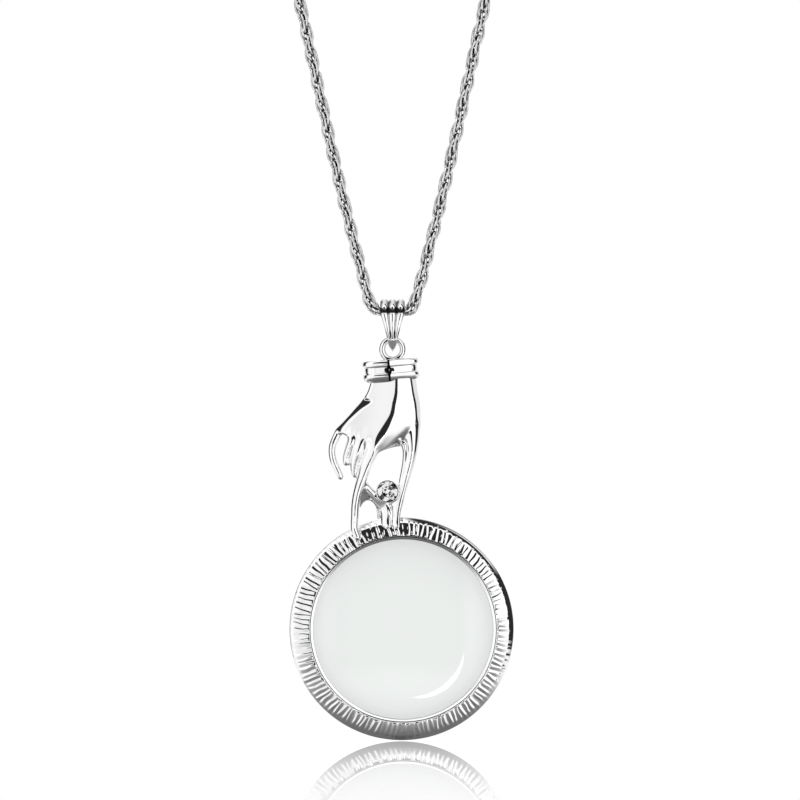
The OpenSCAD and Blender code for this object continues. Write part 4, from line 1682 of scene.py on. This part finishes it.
@dataclass(frozen=True)
class Panels:
    """Grey levels around the object that its reflections show, by angles in degrees.

    Azimuth is 0 in front and grows to the right, and elevation is 0 at the horizon.
    """

    azimuths: Table = (
        (-180, 1.0), (-175, 1.0), (-173, 0.66), (-146, 0.66), (-142, 0.02), (-93, 0.02), (-89, 0.74),
        (-72, 0.74), (-66, 0.97), (-56, 0.97), (-46, 0.72), (-38, 0.95), (-30, 0.70), (-24, 0.8), (-18, 0.78),
        (16, 0.97), (22, 1.0), (29, 0.9), (36, 1.0), (60, 1.0), (64, 0.02), (108, 0.02), (114, 0.66),
        (173, 0.66), (175, 1.0), (180, 1.0),
    )
    hood_left: Table = ((2, 1.0), (66, 1.0), (80, 0.72), (98, 0.72), (146, 0.66), (176, 0.62))
    hood_right: Table = ((2, 1.0), (64, 1.0), (67, 0.02), (79, 0.02), (82, 0.72), (150, 0.62), (176, 0.62))
    hood_turn: tuple[float, float] = (5, 25)
    hood_low: tuple[float, float] = (24, 34)
    hood_high: tuple[float, float] = (52, 60)
    hood_from: tuple[float, float] = (-104, -98)
    ground: Table = (
        (-90, 0.06), (-63, 0.12), (-45, 0.13), (-36, 0.16), (-27, 0.24), (-19.8, 0.42), (-12.6, 0.75), (0, 0.85),
    )
    ground_edge: tuple[float, float] = (-24, -14)
    ground_lift: float = 18.0
    ground_sides: tuple[float, float] = (15, 45)
    strip_low: tuple[float, float] = (-16, -12)
    strip_end: tuple[float, float] = (44, 50)
    strip_right: tuple[float, float] = (11.0, 0.4)
    strip_left: tuple[float, float, float] = (12.0, 2.2, 33.0)
    strip_over: float = 8.0
    strip_soft: float = 3.0
    strip_dark: float = 0.98
    crescent_outer: tuple[float, float, float] = (0.0616, -0.1808, 0.1511)
    crescent_inner: tuple[float, float, float] = (0.0188, -0.1299, 0.1959)
    crescent_soft: float = 0.004
    crescent_light: float = 5.0

    def seen(self, graph: Graph, way: bpy.types.NodeSocket) -> Value:
        """What a reflection sees in a direction.

        Args:
            graph: Graph of the world.
            way: The direction.

        Returns:
            The colour.
        """
        x, y, z = graph.split(way)
        azimuth = graph.maths("ARCTAN2", x, -y) * DEGREES
        elevation = graph.maths("ARCSINE", z) * DEGREES
        off_axis = graph.maths("ARCCOSINE", -y) * DEGREES
        left, right = (graph.along(off_axis, 0, 180, table) for table in (self.hood_left, self.hood_right))
        hood = graph.blend(azimuth.ramp(*self.hood_turn), left, right)
        hooded = graph.maths("MAXIMUM", azimuth.ramp(*self.hood_from), elevation.ramp(*self.hood_high))
        around = graph.along(azimuth, -180, 180, self.azimuths)
        around = graph.blend(elevation.ramp(*self.hood_low) * hooded, around, hood)
        around = around * (1.0 - self.strip(graph, azimuth, elevation, off_axis) * self.strip_dark)
        lift = self.ground_lift * graph.maths("ABSOLUTE", azimuth).ramp(*self.ground_sides)
        ground = graph.along(elevation + lift, -90, 0, self.ground)
        seen = graph.blend(elevation.ramp(*self.ground_edge), ground, around)
        return graph.blend(self.crescent(graph, x, y, z), seen, (*[self.crescent_light] * 3, 1.0))

    def strip(self, graph: Graph, azimuth: Value, elevation: Value, off_axis: Value) -> Value:
        """Share of the dark strip in front, which widens upwards.

        Args:
            graph: Graph of the world.
            azimuth: Azimuth of the direction.
            elevation: Its elevation.
            off_axis: Its angle from straight ahead.

        Returns:
            The share.
        """
        over = graph.maths("MAXIMUM", elevation - self.strip_over, 0.0)
        (start, grow), (reach, widen, most) = self.strip_right, self.strip_left
        reach = graph.maths("MINIMUM", reach + widen * over, most)
        right = 1.0 - ((azimuth - start - grow * over) / self.strip_soft).clamped()
        left = 1.0 - ((-azimuth - reach) / self.strip_soft).clamped()
        return right * left * elevation.ramp(*self.strip_low) * (1.0 - off_axis.ramp(*self.strip_end))

    def crescent(self, graph: Graph, x: Value, y: Value, z: Value) -> Value:
        """Share of the bright crescent that the lens reflects.

        Args:
            graph: Graph of the world.
            x: Direction to the right.
            y: Direction away from the camera's side.
            z: Direction up.

        Returns:
            The share.
        """
        far = [
            graph.maths("SQRT", (x - cx) * (x - cx) + (z - cz) * (z - cz)) - r
            for cx, cz, r in (self.crescent_outer, self.crescent_inner)
        ]
        inside, outside = (far[0] / -self.crescent_soft).clamped(), (far[1] / self.crescent_soft).clamped()
        return inside * outside * (-y).ramp(0.5, 0.6)


@dataclass
class Studio:
    """Pale floor, soft surroundings and the camera."""

    floor_z: float = -84.45
    floor_far: float = 3000.0
    mirror: float = 0.66
    mirror_x: float = 1.8
    mirror_w: float = 34.0
    mirror_front: float = 4.0
    fade: float = 128.0
    side_fade: float = 8.0
    front_fade: float = 2.0
    bounced: float = 0.25
    distance: float = 1200.0
    elevation: float = math.radians(3.5)
    aim: tuple[float, float, float] = (1.47, 0.0, -17.35)
    span: float = 156.8
    sensor: float = 36.0
    panels: Panels = Panels()

    def floor(self) -> None:
        """Plain white floor with a weak mirror image close to the object."""
        far = self.floor_far
        points = np.array([(x, y, self.floor_z) for x, y in ((-far, -far), (far, -far), (far, far), (-far, far))])
        floor = Skin(points, [np.array([[0, 1, 2, 3]])]).mesh("studio_floor", Shading.FLAT)
        made, graph = Graph.of_material("studio_floor")
        x, y, _ = graph.split(graph.where())
        plane_y = -NAPE[1] * MM
        near = ((y - (plane_y - self.fade * MM)) / (self.fade * MM)).clamped()
        before = ((plane_y + self.mirror_front * MM - y) / (self.front_fade * MM)).clamped()
        beside = graph.maths("ABSOLUTE", x - (self.mirror_x - NAPE[0]) * MM)
        inside = ((self.mirror_w * MM - beside) / (self.side_fade * MM)).clamped()
        white = graph.node("ShaderNodeEmission", {}, {"Color": WHITE, "Strength": 1.0})
        gloss = graph.node("ShaderNodeBsdfAnisotropic", {}, {"Color": WHITE, "Roughness": 0.02})
        share = self.mirror * near * before * inside
        both = graph.node("ShaderNodeMixShader", {}, {0: share, 1: white.outputs[0], 2: gloss.outputs[0]})
        graph.shader_out(both.outputs[0])
        floor.data.materials.append(made)
        floor.visible_glossy = False
        floor.visible_diffuse = False
        floor.visible_shadow = False

    def surroundings(self) -> None:
        """White background, with grey and black panels that only reflections show."""
        world = bpy.data.worlds.new("studio")
        bpy.context.scene.world = world
        world.use_nodes = True
        graph = Graph(world.node_tree)
        mirrored = Value(graph, graph.node("ShaderNodeLightPath").outputs["Is Reflection Ray"])
        level = graph.blend(mirrored, WHITE, self.panels.seen(graph, graph.where("Generated")))
        strength = 1.0 + self.bounced * mirrored
        light = graph.node("ShaderNodeBackground", {}, {"Color": level, "Strength": strength})
        graph.node("ShaderNodeOutputWorld", {}, {"Surface": light.outputs[0]})

    def camera(self) -> None:
        """Camera in front of the object, a little above it."""
        data = bpy.data.cameras.new("camera")
        data.sensor_width = self.sensor
        data.lens = self.sensor * self.distance / self.span
        data.clip_end = 20.0
        camera = bpy.data.objects.new("camera", data)
        back = np.array([0, -math.cos(self.elevation), math.sin(self.elevation)])
        camera.location = (np.array(self.aim) + self.distance * back - NAPE) * MM
        camera.rotation_euler = (math.pi / 2 - self.elevation, 0, 0)
        bpy.context.scene.collection.objects.link(camera)
        bpy.context.scene.camera = camera

    def build(self) -> None:
        """Sets up the floor, the surroundings and the camera."""
        self.floor()
        self.surroundings()
        self.camera()
        bpy.context.scene.view_settings.view_transform = "Standard"


def main() -> None:
    """Builds every piece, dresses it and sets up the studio."""
    logging.basicConfig(level=logging.INFO, format="%(name)s: %(message)s")
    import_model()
    silver = PolishedPlate("rhodium_plate").material()
    # Link finish with painted shade towards the middle of the rope.
    link_silver = PolishedPlate("link_plate", roughness=0.12, painted_recess_shade=True, dark_to=0.6, bright_from=0.8).material()
    # Plate with painted shade, for the bail's valleys and the cuff's pleat.
    painted_shade_silver = PolishedPlate("rhodium_plate_painted_shade", painted_recess_shade=True).material()
    foil = PolishedPlate("stone_foil", (0.97, 0.97, 0.97), roughness=0.02, spread=0.0, wave_height=0.0).material()
    # Near-black plate: painted dark reflection on some back facets of the stone.
    shade = PolishedPlate("stone_shade", (0.03, 0.03, 0.03), roughness=0.02, spread=0.0, wave_height=0.0).material()
    stone_glass = ClearGlass("stone_glass", (1, 1, 1), (1, 1, 1), index=1.6).material()
    rim, lens = BarkRim(), MagnifyingLens()
    lens_glass = ClearGlass("lens_glass", centre=(lens.x, 0.0, lens.z)).material()
    pieces = [
        *RopeChain().build(link_silver),
        *Clasp().build(silver),
        *RibbedBail().build(painted_shade_silver),
        *HandCasting().build(silver, painted_shade_silver, rim),
        *rim.build(silver),
        *BrilliantStone().build(stone_glass, foil, shade),
        *lens.build(lens_glass),
    ]
    for piece in pieces:
        LOG.info("%s: %d faces", piece.name, len(piece.data.polygons))
    Studio().build()


if __name__ == "__main__":
    main()
